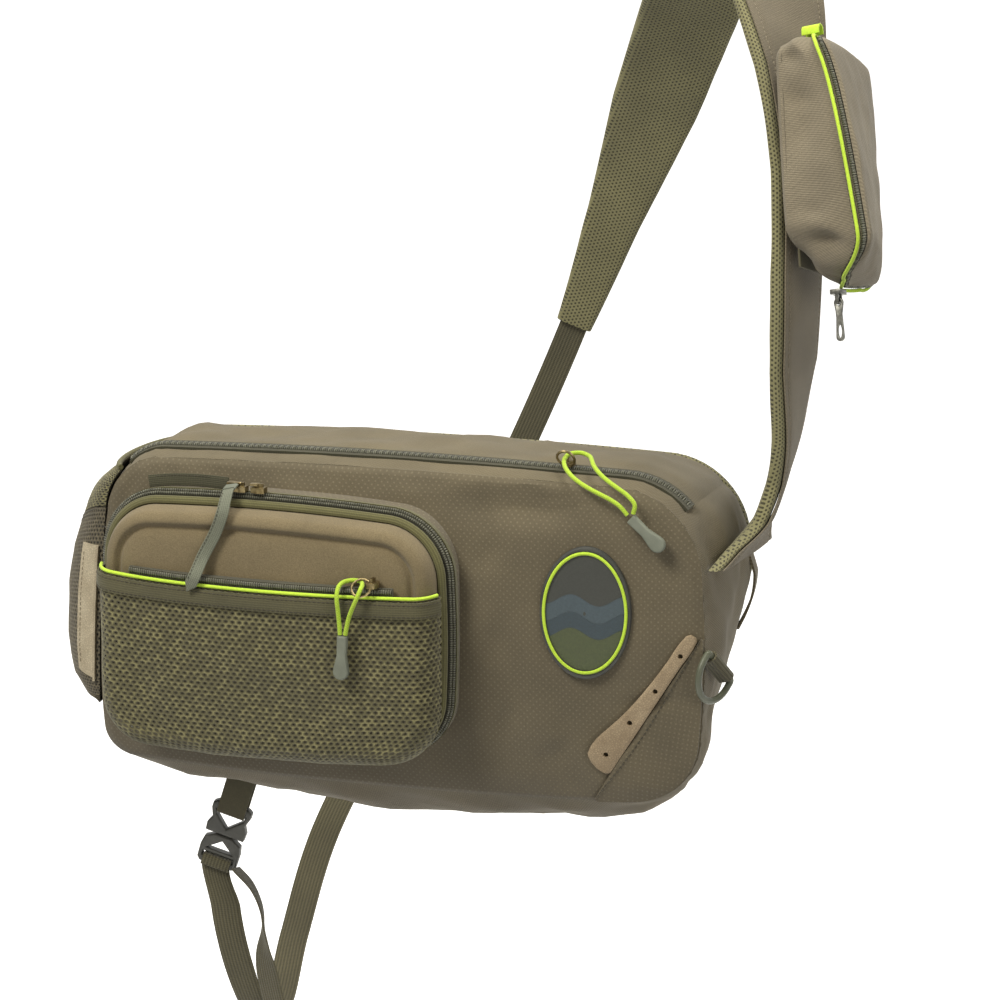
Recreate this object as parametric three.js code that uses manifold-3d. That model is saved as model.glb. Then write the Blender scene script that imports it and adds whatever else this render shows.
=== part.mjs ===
// A fishing sling bag with one padded shoulder strap, as it hangs when worn across the body.
// Millimetres. X runs along the bag, Y from its front to its back, Z up.
// The pieces are placed from the middle of the bag, and the group moves the shoulder to the origin.
import * as THREE from "three";
import Module from "manifold-3d";

const wasm = await Module();
wasm.setup();

const { degToRad, lerp, smoothstep } = THREE.MathUtils;
const vec = (x, y, z) => new THREE.Vector3(x, y, z);

// Driving sizes
const GAP = 0.5; // clearance between neighbours that are sewn together
const SEAM = 0.2; // half of the clearance at a seam between two panels
const CLOTH = 2; // bag cloth with its backing
const MESH = 1.4; // pocket mesh
const LEATHER = 2;
const WEBBING = 1.6; // thickness of the strap webbing
const WEBBING_WIDTH = 20;

// The bag seen from the front: its edges, corner radii and the outward bow of each edge
const BAG = {
  left: -220,
  right: 182,
  bottom: -101,
  top: 98,
  radii: { bottomRight: 46, topRight: 56, topLeft: 34, bottomLeft: 20 },
  bows: { bottom: 4, right: 2, top: 3, left: 2 },
};
const LEFT_LEAN = { slope: 0.05, from: 60 }; // the left end leans in towards its top
// The back panel's right edge leans inwards below a height, over the panel's right part
const BACK_LEAN = { slope: 0.27, below: 27, from: 60 };
const FRONT_SEAM = -62; // Y of the seam round the front panel
const BACK_SEAM = 55; // Y of the seam round the back panel
const BACK_PADDING = 10;
const FRONT_CROWN = 16; // how far the front panel domes out
const FRONT_SQUARENESS = 4;
const FRONT_FALL = 3;
const GUSSET_SWELL = { bottom: 26, right: 4, top: 7, left: 6 };
const BOTTOM_FALL = { share: 0.5, reach: 200 }; // the bottom swells less towards its ends
const SWELL_POWER = 2.4;

// Soft hollows pressed into the front panel: centre, half sizes and depth
const DENTS = [
  { x: 70, z: 84, halfX: 40, halfZ: 9, depth: 4 },
  { x: 150, z: -52, halfX: 26, halfZ: 34, depth: 3 },
  { x: 62, z: -30, halfX: 18, halfZ: 60, depth: 2.5 },
];

// The zip along the top gusset, as shares of the way from the front seam to the back seam
const MAIN_ZIP = { from: 0.11, to: 0.23, rise: 1.2 };

// The moulded pocket on the front, and how far in front of Y = 0 its rims lie
const POCKET = {
  left: -201.5,
  right: 31,
  bottom: -73,
  top: 81.5,
  radii: { bottomRight: 38, topRight: 42, topLeft: 42, bottomLeft: 28 },
  bows: { bottom: 4.5, right: 1, top: 2, left: 1 },
  topRise: { left: 4, right: 0 },
};
const POCKET_DEPTH = { wall: 86.9, sewn: 91.4 };
const POCKET_WALL = 2.6;
// Corners of the zip's and the binding's sections; both flare from the lid to the wall
const POCKET_ZIP = {
  outer: [
    { inset: -1, depth: 88.4 },
    { inset: 2.3, depth: 91.9 },
  ],
  inner: [
    { inset: 1.6, depth: 87.3 },
    { inset: 4.6, depth: 90.6 },
  ],
};
const POCKET_BINDING = [
  { inset: 7, depth: 93.6 },
  { inset: 2.3, depth: 92.5 },
  { inset: 3.4, depth: 96.9 },
  { inset: 7, depth: 99 },
];
const LID_PROFILE = [
  { inset: 7.5, depth: 97 },
  { inset: 7.5, depth: 100 },
  { inset: 8.4, depth: 105 },
  { inset: 10.5, depth: 110 },
  { inset: 15.5, depth: 112.8 },
  { inset: 19.5, depth: 109.6 },
  { inset: 23, depth: 112.8 },
  { inset: 48, depth: 115.5 },
];
const LID_INSIDE = [
  { inset: 11, depth: 97 },
  { inset: 11, depth: 101 },
  { inset: 16, depth: 106.6 },
  { inset: 48, depth: 109 },
];

// The mesh pocket on the lid wraps its bottom; its top edge falls to the right and rises at its left end
const MESH_POCKET = {
  left: -196.4,
  right: 26.2,
  bottom: -76,
  bottomBow: 5,
  topEnd: 34.3,
  sag: 2.2,
  leftRise: 2.4,
  fall: 2,
  radii: { bottomRight: 36, bottomLeft: 31 },
  reach: 12,
  foot: { bottom: 91, side: 100.2 },
  front: 116.5,
  belly: 7,
};
const MESH_BAND = { height: 11, thick: 1.2 };
const PIPING_RADIUS = 1.1;
const MESH_ZIP = { left: -172, right: 2, back: 116.2, low: 2.2, thick: 4.9 };

// Zip sliders, their pulls and the cords' routes
const CORD_RADIUS = 1.4;
const PULL_END = { length: 28, neck: 3.4, waist: 2.8, half: 5, thick: 4.6 };
const MAIN_SLIDER = {
  at: vec(90, -38, 105.9),
  ring: { radius: 5.6, wire: 0.9, tilt: -60, x: 0, y: -6, z: -7 },
};
const MAIN_CORD = [
  { x: 137.4, y: -71, z: 84.4 },
  { x: 132.4, y: -71.1, z: 89.7 },
  { x: 126.2, y: -70.4, z: 93.2 },
  { x: 119.4, y: -69.4, z: 95.9 },
  { x: 112.8, y: -68.1, z: 98.4 },
  { x: 106.3, y: -66.1, z: 101.1 },
  { x: 100.4, y: -63, z: 103.9 },
  { x: 95.4, y: -58.4, z: 106.6 },
  { x: 91.6, y: -52.8, z: 109 },
  { x: 89.6, y: -46.2, z: 111.7 },
  { x: 91.1, y: -39.4, z: 113.7 },
  { x: 97.1, y: -35.8, z: 114 },
  { x: 103.4, y: -38.9, z: 112.9 },
  { x: 106.8, y: -45.2, z: 111.9 },
  { x: 109.8, y: -51.6, z: 110.2 },
  { x: 114, y: -57, z: 107.8 },
  { x: 119.1, y: -61.5, z: 105.1 },
  { x: 124.8, y: -64.9, z: 102.4 },
  { x: 131, y: -67.6, z: 99.5 },
  { x: 137.1, y: -69.6, z: 96.2 },
  { x: 141.9, y: -70.9, z: 91.1 },
  { x: 141, y: -71, z: 85.5 },
];
const MAIN_END = { at: vec(139.4, -70.6, 82.6), turns: { x: 0, y: -48, z: 0 } };
const POCKET_SLIDERS = [
  { name: "pocket_slider_left", x: -108.5, y: -90, z: 87.2, tongue: 8 },
  { name: "pocket_slider_right", x: -96, y: -90, z: 87.1, tongue: 5 },
];
const RIBBON = { half: 4, thick: 1.2 };
const HANGING_RIBBON = [
  { x: -112.6, y: -93.4, z: 91.3 },
  { x: -112.3, y: -99.6, z: 89.8 },
  { x: -111.2, y: -108, z: 85.2 },
  { x: -111, y: -113.8, z: 78 },
  { x: -115, y: -115.6, z: 66 },
  { x: -122, y: -119.4, z: 51 },
  { x: -125, y: -128, z: 39 },
  { x: -129.3, y: -128.6, z: 30.4 },
];
const LYING_RIBBON = [
  { x: -118, y: -85, z: 90.6 },
  { x: -140, y: -82, z: 90.7 },
  { x: -158, y: -81, z: 89.8 },
  { x: -174, y: -80, z: 87.6 },
];
const MESH_SLIDER = {
  at: vec(-10, -120.6, 39.5),
  ring: { radius: 6.2, wire: 0.8, tilt: 50, x: -6, y: -0.2, z: -3.9 },
};
const MESH_CORD = [
  { x: -24.8, y: -129.4, z: 10.6 },
  { x: -23.7, y: -129.6, z: 15.9 },
  { x: -22.3, y: -130, z: 21.2 },
  { x: -20.5, y: -130.8, z: 25.7 },
  { x: -18.4, y: -131.5, z: 30.2 },
  { x: -16.4, y: -131.4, z: 34.8 },
  { x: -15.1, y: -128.9, z: 39.3 },
  { x: -15.6, y: -123.6, z: 41.5 },
  { x: -18.2, y: -118.9, z: 42.2 },
  { x: -23.4, y: -118, z: 42.6 },
  { x: -28.3, y: -120.9, z: 41.9 },
  { x: -30, y: -125.7, z: 40.1 },
  { x: -30.1, y: -129.3, z: 36.1 },
  { x: -29.7, y: -130.5, z: 31.3 },
  { x: -29.3, y: -130.1, z: 26.4 },
  { x: -28.9, y: -129.8, z: 21.4 },
  { x: -28.5, y: -129.6, z: 16 },
  { x: -28.2, y: -129.4, z: 10.6 },
];
const MESH_END = { at: vec(-26.5, -129.4, 10), turns: { x: 0, y: 3, z: 0 } };

// The oval patch
const PATCH = { x: 112, z: 22, halfX: 28.5, halfZ: 41.5, thick: 2.6 };
const PATCH_RING = { share: 0.9, wide: 2.1, high: 1 };

// The leather strip beside the corner panel, from its narrow top to its wide bottom
const STRIP = {
  top: { x: 180.5, z: 6.5 }, // the two ends of its straight edge, beside the corner panel
  bottom: { x: 126.5, z: -80.6 },
  lift: 1,
  holeRadius: 1.6,
  // share of the straight edge, and how far in from that edge the strip starts and ends
  rows: [
    { at: -0.016, from: 2.2, to: 5.6 },
    { at: 0, from: 0.6, to: 7.2 },
    { at: 0.03, from: 0, to: 7.9 },
    { at: 0.2, from: 0, to: 8.4 },
    { at: 0.4, from: 0, to: 9.7 },
    { at: 0.64, from: 0, to: 13.2 },
    { at: 0.75, from: 0, to: 16 },
    { at: 0.86, from: 0, to: 18.6 },
    { at: 0.93, from: 0, to: 18.6 },
    { at: 0.975, from: 0, to: 16.8 },
    { at: 1, from: 0.4, to: 13 },
    { at: 1.015, from: 2, to: 9 },
  ],
  holes: [
    { at: 0.126, inwards: 3.6 },
    { at: 0.396, inwards: 4.5 },
    { at: 0.652, inwards: 6.9 },
    { at: 0.904, inwards: 8.3 },
  ],
};
const CORNER_PANEL = {
  bottomX: 113.4,
  bottomZ: -102,
  sideX: 183.9,
  sideZ: 10.5,
  thick: 1.2,
  lift: 0.6,
  rim: 0.985,
};

// The ring at the lower right: the middle and heading of its straight bar
const RING = { x: 192.6, y: -56, z: -10, wire: 2.1, inside: 26.8, drop: 23 };
const RING_BAR = vec(0.3, 0.65, -0.7).normalize();
const RING_LOOP = { width: 23, leg: 5.2, thick: 1.4, clear: 0.45 };

// The mesh pocket on the left end: how far it stands out at each height
const SIDE_POCKET = { front: -57, back: 47, clear: 0.8, seam: 44, seamFront: 64, seamBack: 20 };
const SIDE_ROWS = [
  { z: -66, out: 1 },
  { z: -63, out: 19 },
  { z: -53, out: 30 },
  { z: -30, out: 35 },
  { z: 5, out: 35 },
  { z: 30, out: 32 },
  { z: 44, out: 28 },
  { z: 60, out: 23 },
  { z: 76, out: 15 },
  { z: 82, out: 11 },
  { z: 88, out: 7 },
];
const LEATHER_TAB = { front: -60, back: -51, bottom: -46, top: 38, lift: 0.5 };
const END_TAPE = { front: 40, back: 54, bottom: -10, top: 38, out: 4, thick: 1.6 };

// The strap's route from the right end of the bag over the shoulder and back to the buckle.
// yaw and lift turn the outward side of the strap from +X about Z, then up.
// level says how far its cross-section stays level instead of square to the route.
const STRAP_ROUTE = [
  { x: 190.7, y: -5, z: 50, yaw: -3, lift: 0, width: 106, level: 1 },
  { x: 193.4, y: 5, z: 58, yaw: 0, lift: 0, width: 84, level: 1 },
  { x: 199, y: 22, z: 70, yaw: 9, lift: 0, width: 60, level: 1 },
  { x: 205, y: 30, z: 92, yaw: 10, lift: 0, width: 58, level: 1 },
  { x: 210, y: 33, z: 120, yaw: 5, lift: 0, width: 66, level: 0.6 },
  { x: 214, y: 30, z: 165, yaw: -5, lift: 0, width: 70, level: 0.2 },
  { x: 214, y: 35, z: 220, yaw: -7, lift: 3, width: 70 },
  { x: 210, y: 48, z: 280, yaw: -6, lift: 9, width: 70 },
  { x: 200, y: 69, z: 340, yaw: -16, lift: 20, width: 70 },
  { x: 181, y: 101, z: 394, yaw: -38, lift: 46, width: 70 },
  { x: 150, y: 150, z: 424, yaw: -58, lift: 88, width: 70 },
  { x: 116, y: 206, z: 412, yaw: 116, lift: 52, width: 70 },
  { x: 84, y: 258, z: 362, yaw: 112, lift: 24, width: 68 },
  { x: 50, y: 292, z: 292, yaw: 106, lift: 12, width: 60 },
  { x: 16, y: 314, z: 214, yaw: 103, lift: 6, width: 40 },
  { x: -18, y: 328, z: 132, yaw: 101, lift: 4, width: 26 },
  { x: -62, y: 333, z: 34, yaw: 106, lift: 0, width: 20 },
  { x: -110, y: 320, z: -68, yaw: 116, lift: -6, width: 20 },
  { x: -148, y: 278, z: -158, yaw: 124, lift: -16, width: 20 },
  { x: -166, y: 205, z: -226, yaw: 120, lift: -38, width: 20 },
  { x: -160, y: 128, z: -276, yaw: 105, lift: -58, width: 20 },
  { x: -148, y: 60, z: -306, yaw: 95, lift: -82, width: 20 },
  { x: -147, y: 24, z: -296, yaw: -88, lift: -42, width: 20 },
  { x: -155, y: 12, z: -262, yaw: -84, lift: -6, width: 20 },
  { x: -163, y: 10, z: -222, yaw: -82, lift: 0, width: 20 },
  { x: -163.5, y: 10, z: -195.4, yaw: -82, lift: 0, width: 20 },
];
const APEX_ROW = 10; // the row on top of the shoulder
const PAD_END_ROW = 15; // the row where the pad ends and the webbing starts
const PAD = { thick: 10, round: 3 };
const FACE = { thick: 1.6 };

// The fastened buckle below the bag, in a frame of its own
const BUCKLE = { x: -163, y: 10, z: -170, yaw: 8, roll: 18, thick: 7, bevel: 0.8 };
const BUCKLE_TAB = { width: 19, thick: 1.5, clear: 0.45, bar: 19.2, barHalf: 1.7, reach: 29.6 };
const TAIL_ROUTE = [
  { x: -153.5, y: 4.4, z: -190.6 },
  { x: -141.4, y: 3, z: -202 },
  { x: -134.6, y: 2, z: -216 },
  { x: -133, y: 2, z: -232 },
  { x: -133, y: 3, z: -250 },
  { x: -130, y: 5, z: -272 },
  { x: -124, y: 8, z: -300 },
];
const TAIL_SIDES = { top: vec(0.35, -0.94, 0), bottom: vec(0.93, -0.36, 0), from: 0.4, to: 0.8 };

// The pouch on the strap: where it sits on the strap's route, and its outline
const POUCH_SEAT = { row: 7.5, shift: -4, up: -22.6, clear: 2.1 };
const POUCH = {
  left: -40,
  right: 40,
  bottom: -82,
  top: 66,
  radii: { bottomRight: 22, topRight: 6, topLeft: 12, bottomLeft: 24 },
  bows: { bottom: 2, right: 1, top: 1, left: 1 },
  topRise: { left: 0, right: -7 },
  edgeSteps: 3,
  cornerSteps: 4,
};
// How far the zip lies from the strap: along the near side, along the far side and at the foot
const POUCH_DEPTH = { nearBottom: 54.5, nearTop: 22, curve: 0.42, far: 21, hookFrom: -62, hookDepth: 18 };
const POUCH_FOOT_RISE = { height: 18, from: 30, to: 84 }; // the foot slopes up towards the strap
const POUCH_ZIP = 3.2;
const POUCH_LID = { thick: 3, crown: 2.5 };
const POUCH_WALL = 2;
const POUCH_KEEPER = { wide: 36, thick: 1.8, tall: 84, clear: 0.4, z: -30 };
const POUCH_PULL = { length: 24, wide: 5.4, thick: 1.6, eye: 1.7, pin: 1.2, drop: 8 };

const COLOURS = {
  cloth: { color: 0x766958, roughness: 0.9, metalness: 0 },
  twill: { color: 0x7a6d5b, roughness: 0.9, metalness: 0 },
  moulded: { color: 0x85755c, roughness: 0.95, metalness: 0 },
  mesh: { color: 0x68633e, roughness: 0.95, metalness: 0 },
  binding: { color: 0x5f5c37, roughness: 0.9, metalness: 0 },
  neon: { color: 0xcdf53c, roughness: 0.7, metalness: 0 },
  leather: { color: 0xb29e84, roughness: 0.8, metalness: 0 },
  webbing: { color: 0x55503a, roughness: 0.9, metalness: 0 },
  zip: { color: 0x3a3a2d, roughness: 0.6, metalness: 0 },
  plastic: { color: 0x3e3e3a, roughness: 0.5, metalness: 0 },
  ring: { color: 0x585c4c, roughness: 0.45, metalness: 0 },
  brass: { color: 0x8c7d5a, roughness: 0.4, metalness: 1 },
  steel: { color: 0x6a6a66, roughness: 0.35, metalness: 1 },
  rubber: { color: 0x3c3d3a, roughness: 0.7, metalness: 0 },
  pull: { color: 0x767a6e, roughness: 0.6, metalness: 0 },
};

// Collects triangles over shared corners, and leaves out those that have no area
class Facets {
  constructor() {
    this.corners = [];
    this.places = new Map();
    this.faces = [];
  }
  corner(point) {
    const key = [point.x, point.y, point.z].map((value) => Math.round(value * 1000)).join();
    if (!this.places.has(key)) {
      this.places.set(key, this.corners.length);
      this.corners.push(point);
    }
    return this.places.get(key);
  }
  triangle(a, b, c) {
    const face = [a, b, c].map((point) => this.corner(point));
    if (new Set(face).size === 3) this.faces.push(face);
  }
  quad(a, b, c, d) {
    this.triangle(a, b, c);
    this.triangle(a, c, d);
  }
  volume() {
    const six = (face) => {
      const [a, b, c] = face.map((index) => this.corners[index]);
      return a.dot(b.clone().cross(c));
    };
    return this.faces.reduce((sum, face) => sum + six(face), 0) / 6;
  }
  geometry() {
    const outward = this.volume() > 0;
    const faces = outward ? this.faces : this.faces.map(([a, b, c]) => [a, c, b]);
    const geometry = new THREE.BufferGeometry().setFromPoints(this.corners);
    geometry.setIndex(faces.flat());
    geometry.computeVertexNormals();
    return geometry;
  }
}

// One closed wall between an outer and an inner grid of points; closed joins its last column to the first
function wall(outer, inner, closed = false) {
  const facets = new Facets();
  const columns = outer[0].length;
  const last = outer.length - 1;
  const steps = closed ? columns : columns - 1;
  for (let c = 0; c < steps; c++) {
    const d = (c + 1) % columns;
    for (let r = 0; r < last; r++) {
      facets.quad(outer[r][c], outer[r + 1][c], outer[r + 1][d], outer[r][d]);
      facets.quad(inner[r][c], inner[r][d], inner[r + 1][d], inner[r + 1][c]);
    }
    facets.quad(outer[0][c], outer[0][d], inner[0][d], inner[0][c]);
    facets.quad(outer[last][c], inner[last][c], inner[last][d], outer[last][d]);
  }
  if (!closed) {
    for (let r = 0; r < last; r++) {
      facets.quad(outer[r][0], inner[r][0], inner[r + 1][0], outer[r + 1][0]);
      facets.quad(outer[r][steps], outer[r + 1][steps], inner[r + 1][steps], inner[r][steps]);
    }
  }
  return facets.geometry();
}

// The unit normal of a surface pointAt(u, v)
function normalOf(pointAt, u, v) {
  const step = 1e-3;
  const across = pointAt(Math.min(u + step, 1), v).sub(pointAt(Math.max(u - step, 0), v));
  const up = pointAt(u, Math.min(v + step, 1)).sub(pointAt(u, Math.max(v - step, 0)));
  return across.cross(up).normalize();
}

// The surface that stands off another by a distance; the middle decides which side is on the side of hint
function raised(pointAt, distance, hint) {
  const offset = normalOf(pointAt, 0.5, 0.5).dot(hint) < 0 ? -distance : distance;
  return (u, v) => pointAt(u, v).addScaledVector(normalOf(pointAt, u, v), offset);
}

// A closed ring whose section runs round the given closed lines
function ringBody(lines) {
  const facets = new Facets();
  const count = lines[0].length;
  lines.forEach((line, r) => {
    const next = lines[(r + 1) % lines.length];
    for (let c = 0; c < count; c++) {
      const d = (c + 1) % count;
      facets.quad(line[c], next[c], next[d], line[d]);
    }
  });
  return facets.geometry();
}

// A wall whose near side is pointAt(u, v) and whose far side stands off it by thick
function sheet(pointAt, acrossSteps, upSteps, thick, hint, spacing = (t) => t) {
  const farAt = raised(pointAt, thick, hint);
  const grid = (surface) =>
    Array.from({ length: upSteps + 1 }, (_, i) =>
      Array.from({ length: acrossSteps + 1 }, (_, j) => surface(spacing(j / acrossSteps), i / upSteps)),
    );
  return wall(grid(farAt), grid(pointAt));
}

// A body swept through frames {at, side, out}; section gives its corners as [across, outwards]
function sweep(frames, section, closed = false) {
  const facets = new Facets();
  const rings = frames.map((frame) =>
    section(frame).map(([across, outwards]) =>
      frame.at.clone().addScaledVector(frame.side, across).addScaledVector(frame.out, outwards),
    ),
  );
  const corners = rings[0].length;
  const spans = closed ? rings.length : rings.length - 1;
  for (let i = 0; i < spans; i++) {
    const ring = rings[i];
    const next = rings[(i + 1) % rings.length];
    for (let c = 0; c < corners; c++) {
      const d = (c + 1) % corners;
      facets.quad(ring[c], next[c], next[d], ring[d]);
    }
  }
  if (!closed) {
    const end = rings[rings.length - 1];
    for (let c = 1; c < corners - 1; c++) {
      facets.triangle(rings[0][0], rings[0][c], rings[0][c + 1]);
      facets.triangle(end[0], end[c + 1], end[c]);
    }
  }
  return facets.geometry();
}

// Frames along a closed or open line of points that lies in a plane
function planeFrames(points, planeNormal, closed = false) {
  const count = points.length;
  return points.map((at, i) => {
    const before = closed ? points[(i + count - 1) % count] : points[Math.max(i - 1, 0)];
    const after = closed ? points[(i + 1) % count] : points[Math.min(i + 1, count - 1)];
    const along = after.clone().sub(before).normalize();
    const side = planeNormal.clone().addScaledVector(along, -planeNormal.dot(along)).normalize();
    return { at, side, out: side.clone().cross(along).normalize() };
  });
}

const roundSection = (radius, sides) => () =>
  Array.from({ length: sides }, (_, i) => {
    const angle = (2 * Math.PI * i) / sides;
    return [radius * Math.cos(angle), radius * Math.sin(angle)];
  });

const flatSection = (halfWidth, low, high) => () => [
  [-halfWidth, low],
  [halfWidth, low],
  [halfWidth, high],
  [-halfWidth, high],
];

// A round cord through points
function cord(points, radius, steps, sides = 8) {
  const circle = new THREE.Shape().absarc(0, 0, radius, 0, 2 * Math.PI);
  const extrudePath = new THREE.CatmullRomCurve3(points, false, "centripetal");
  const options = { steps, extrudePath, curveSegments: sides / 2, bevelEnabled: false };
  return new THREE.ExtrudeGeometry(circle, options);
}

// A flat shape drawn in X and Z, with its back at y and its front thick nearer the viewer
function plate(shape, thick, y, bevel = 0, curveSegments = 6) {
  const geometry = new THREE.ExtrudeGeometry(shape, {
    depth: thick - 2 * bevel,
    bevelEnabled: bevel > 0,
    bevelThickness: bevel,
    bevelSize: bevel,
    bevelOffset: -bevel,
    bevelSegments: 1,
    curveSegments,
  });
  return geometry.translate(0, 0, bevel).rotateX(Math.PI / 2).translate(0, y, 0);
}

// A geometry as a solid that can be joined or cut, and back again
function solidOf(geometry) {
  const facets = new Facets();
  const loose = geometry.index ? geometry.toNonIndexed() : geometry;
  const place = loose.getAttribute("position");
  const corner = (i) => new THREE.Vector3().fromBufferAttribute(place, i);
  for (let i = 0; i < place.count; i += 3) facets.triangle(corner(i), corner(i + 1), corner(i + 2));
  const vertProperties = new Float32Array(facets.corners.flatMap((point) => point.toArray()));
  const triVerts = new Uint32Array(facets.faces.flat());
  return new wasm.Manifold(new wasm.Mesh({ numProp: 3, vertProperties, triVerts }));
}

function geometryOf(solid) {
  const whole = solid.getMesh();
  const geometry = new THREE.BufferGeometry();
  geometry.setAttribute("position", new THREE.BufferAttribute(new Float32Array(whole.vertProperties), 3));
  geometry.setIndex(new THREE.BufferAttribute(new Uint32Array(whole.triVerts), 1));
  geometry.computeVertexNormals();
  return geometry;
}

const joined = (...geometries) => geometryOf(geometries.map(solidOf).reduce((sum, solid) => sum.add(solid)));

const cut = (geometry, ...cutters) =>
  geometryOf(cutters.map(solidOf).reduce((rest, cutter) => rest.subtract(cutter), solidOf(geometry)));

// A rounded outline with bowed edges. turn counts the edges: 0 bottom, 1 right, 2 top, 3 left.
const EDGE_STEPS = 5;
const CORNER_STEPS = 4;
const PER_EDGE = EDGE_STEPS + CORNER_STEPS;
const SMALLEST_RADIUS = 3;

function outlineOf(box, inset = 0) {
  const edgeSteps = box.edgeSteps ?? EDGE_STEPS;
  const cornerSteps = box.cornerSteps ?? CORNER_STEPS;
  const corners = [
    { x: box.right, z: box.bottom, inX: -1, inZ: 1, radius: box.radii.bottomRight, from: -90 },
    { x: box.right, z: box.top, inX: -1, inZ: -1, radius: box.radii.topRight, from: 0 },
    { x: box.left, z: box.top, inX: 1, inZ: -1, radius: box.radii.topLeft, from: 90 },
    { x: box.left, z: box.bottom, inX: 1, inZ: 1, radius: box.radii.bottomLeft, from: 180 },
  ];
  const arcs = corners.map((corner, edge) => {
    const radius = Math.max(corner.radius - inset, SMALLEST_RADIUS);
    const middleX = corner.x + corner.inX * (inset + radius);
    const middleZ = corner.z + corner.inZ * (inset + radius);
    return Array.from({ length: cornerSteps + 1 }, (_, i) => {
      const angle = degToRad(corner.from + (90 * i) / cornerSteps);
      const turn = edge + i / cornerSteps;
      return { x: middleX + radius * Math.cos(angle), z: middleZ + radius * Math.sin(angle), turn };
    });
  });
  const bows = [box.bows.bottom, box.bows.right, box.bows.top, box.bows.left];
  const outwards = [
    { x: 0, z: -1 },
    { x: 1, z: 0 },
    { x: 0, z: 1 },
    { x: -1, z: 0 },
  ];
  const rise = box.topRise ?? { left: 0, right: 0 };
  const tilted = (point) => {
    const across = THREE.MathUtils.clamp((point.x - box.left) / (box.right - box.left), 0, 1);
    return { ...point, z: point.z + lerp(rise.left, rise.right, across) * smoothstep(point.z, 0, box.top) };
  };
  const points = arcs.flatMap((arc, edge) => {
    const start = arcs[(edge + 3) % 4][cornerSteps];
    const straight = Array.from({ length: edgeSteps - 1 }, (_, i) => {
      const t = (i + 1) / edgeSteps;
      const bow = bows[edge] * (1 - (2 * t - 1) ** 2);
      const x = lerp(start.x, arc[0].x, t) + bow * outwards[edge].x;
      const z = lerp(start.z, arc[0].z, t) + bow * outwards[edge].z;
      return { x, z, turn: edge };
    });
    return [...straight, ...arc];
  });
  return points.map(tilted);
}

const midCorner = (corner) => ((corner + 4) % 4) * PER_EDGE + EDGE_STEPS - 1 + CORNER_STEPS / 2;

function outwardAt(outline, index) {
  const count = outline.length;
  const before = outline[(index + count - 1) % count];
  const after = outline[(index + 1) % count];
  const length = Math.hypot(after.x - before.x, after.z - before.z);
  return { x: (after.z - before.z) / length, z: (before.x - after.x) / length };
}

// The front panel's Y at a place seen from the front
const BAG_MIDDLE = { x: (BAG.left + BAG.right) / 2, z: (BAG.bottom + BAG.top) / 2 };
const BAG_HALF = { x: (BAG.right - BAG.left) / 2, z: (BAG.top - BAG.bottom) / 2 };

function frontY(x, z) {
  const across = Math.abs(x - BAG_MIDDLE.x) / BAG_HALF.x;
  const up = Math.abs(z - BAG_MIDDLE.z) / BAG_HALF.z;
  const reach = (across ** FRONT_SQUARENESS + up ** FRONT_SQUARENESS) ** (1 / FRONT_SQUARENESS);
  const hollow = DENTS.reduce((sum, dent) => {
    const away = ((x - dent.x) / dent.halfX) ** 2 + ((z - dent.z) / dent.halfZ) ** 2;
    return sum + dent.depth * Math.exp(-away);
  }, 0);
  return FRONT_SEAM - FRONT_CROWN * (1 - reach ** FRONT_FALL) + hollow;
}

const leftLeanAt = (x, z) => LEFT_LEAN.slope * (z - BAG.bottom) * smoothstep(-x, LEFT_LEAN.from, -BAG.left);
const bagOutline = outlineOf(BAG).map((point) => ({ ...point, x: point.x + leftLeanAt(point.x, point.z) }));

const backLeanAt = (x, z) =>
  BACK_LEAN.slope * Math.max(BACK_LEAN.below - z, 0) * smoothstep(x, BACK_LEAN.from, BAG.right);
const backOutline = bagOutline.map((point) => ({ ...point, x: point.x - backLeanAt(point.x, point.z) }));

function frontPanel() {
  const shares = [1, 0.95, 0.86, 0.72, 0.5, 0];
  const rows = (y) =>
    shares.map((share) =>
      bagOutline.map((point) => {
        const x = lerp(BAG_MIDDLE.x, point.x, share);
        const z = lerp(BAG_MIDDLE.z, point.z, share);
        return vec(x, y(x, z), z);
      }),
    );
  return wall(rows(frontY), rows((x, z) => frontY(x, z) + CLOTH), true);
}

function swellAt({ turn, x }) {
  const bottom = GUSSET_SWELL.bottom * (1 - BOTTOM_FALL.share * (x / BOTTOM_FALL.reach) ** 2);
  const swells = [bottom, GUSSET_SWELL.right, GUSSET_SWELL.top, GUSSET_SWELL.left];
  const edge = Math.floor(turn) % 4;
  return lerp(swells[edge], swells[(edge + 1) % 4], smoothstep(turn % 1, 0, 1));
}

// A point of the gusset: share runs from the front seam to the back seam, in goes into the wall
function gussetPoint(index, share, inwards) {
  const front = bagOutline[index];
  const back = backOutline[index];
  const out = outwardAt(bagOutline, index);
  const swell = swellAt(front) * (1 - Math.abs(2 * share - 1) ** SWELL_POWER) - inwards;
  const y = lerp(frontY(front.x, front.z) + CLOTH + GAP, BACK_SEAM, share);
  return vec(lerp(front.x, back.x, share) + out.x * swell, y, front.z + out.z * swell);
}

// The stretch of gusset along one edge, between two shares of its depth
function gussetBand(edge, from, to, rows, lift = 0) {
  const first = midCorner(edge - 1);
  const count = PER_EDGE + 1;
  const grid = (inwards) =>
    Array.from({ length: rows + 1 }, (_, r) => {
      const share = lerp(from, to, r / rows);
      const line = Array.from({ length: count }, (_, i) =>
        gussetPoint((first + i) % bagOutline.length, share, inwards),
      );
      return trimmed(line, SEAM);
    });
  return wall(grid(-lift), grid(CLOTH - lift));
}

// A line of points with both ends drawn in a little
function trimmed(line, amount) {
  const last = line.length - 1;
  const drawn = (end, next) => end.clone().add(next.clone().sub(end).setLength(amount));
  return line.map((point, i) => {
    if (i === 0) return drawn(point, line[1]);
    return i === last ? drawn(point, line[last - 1]) : point;
  });
}

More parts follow.
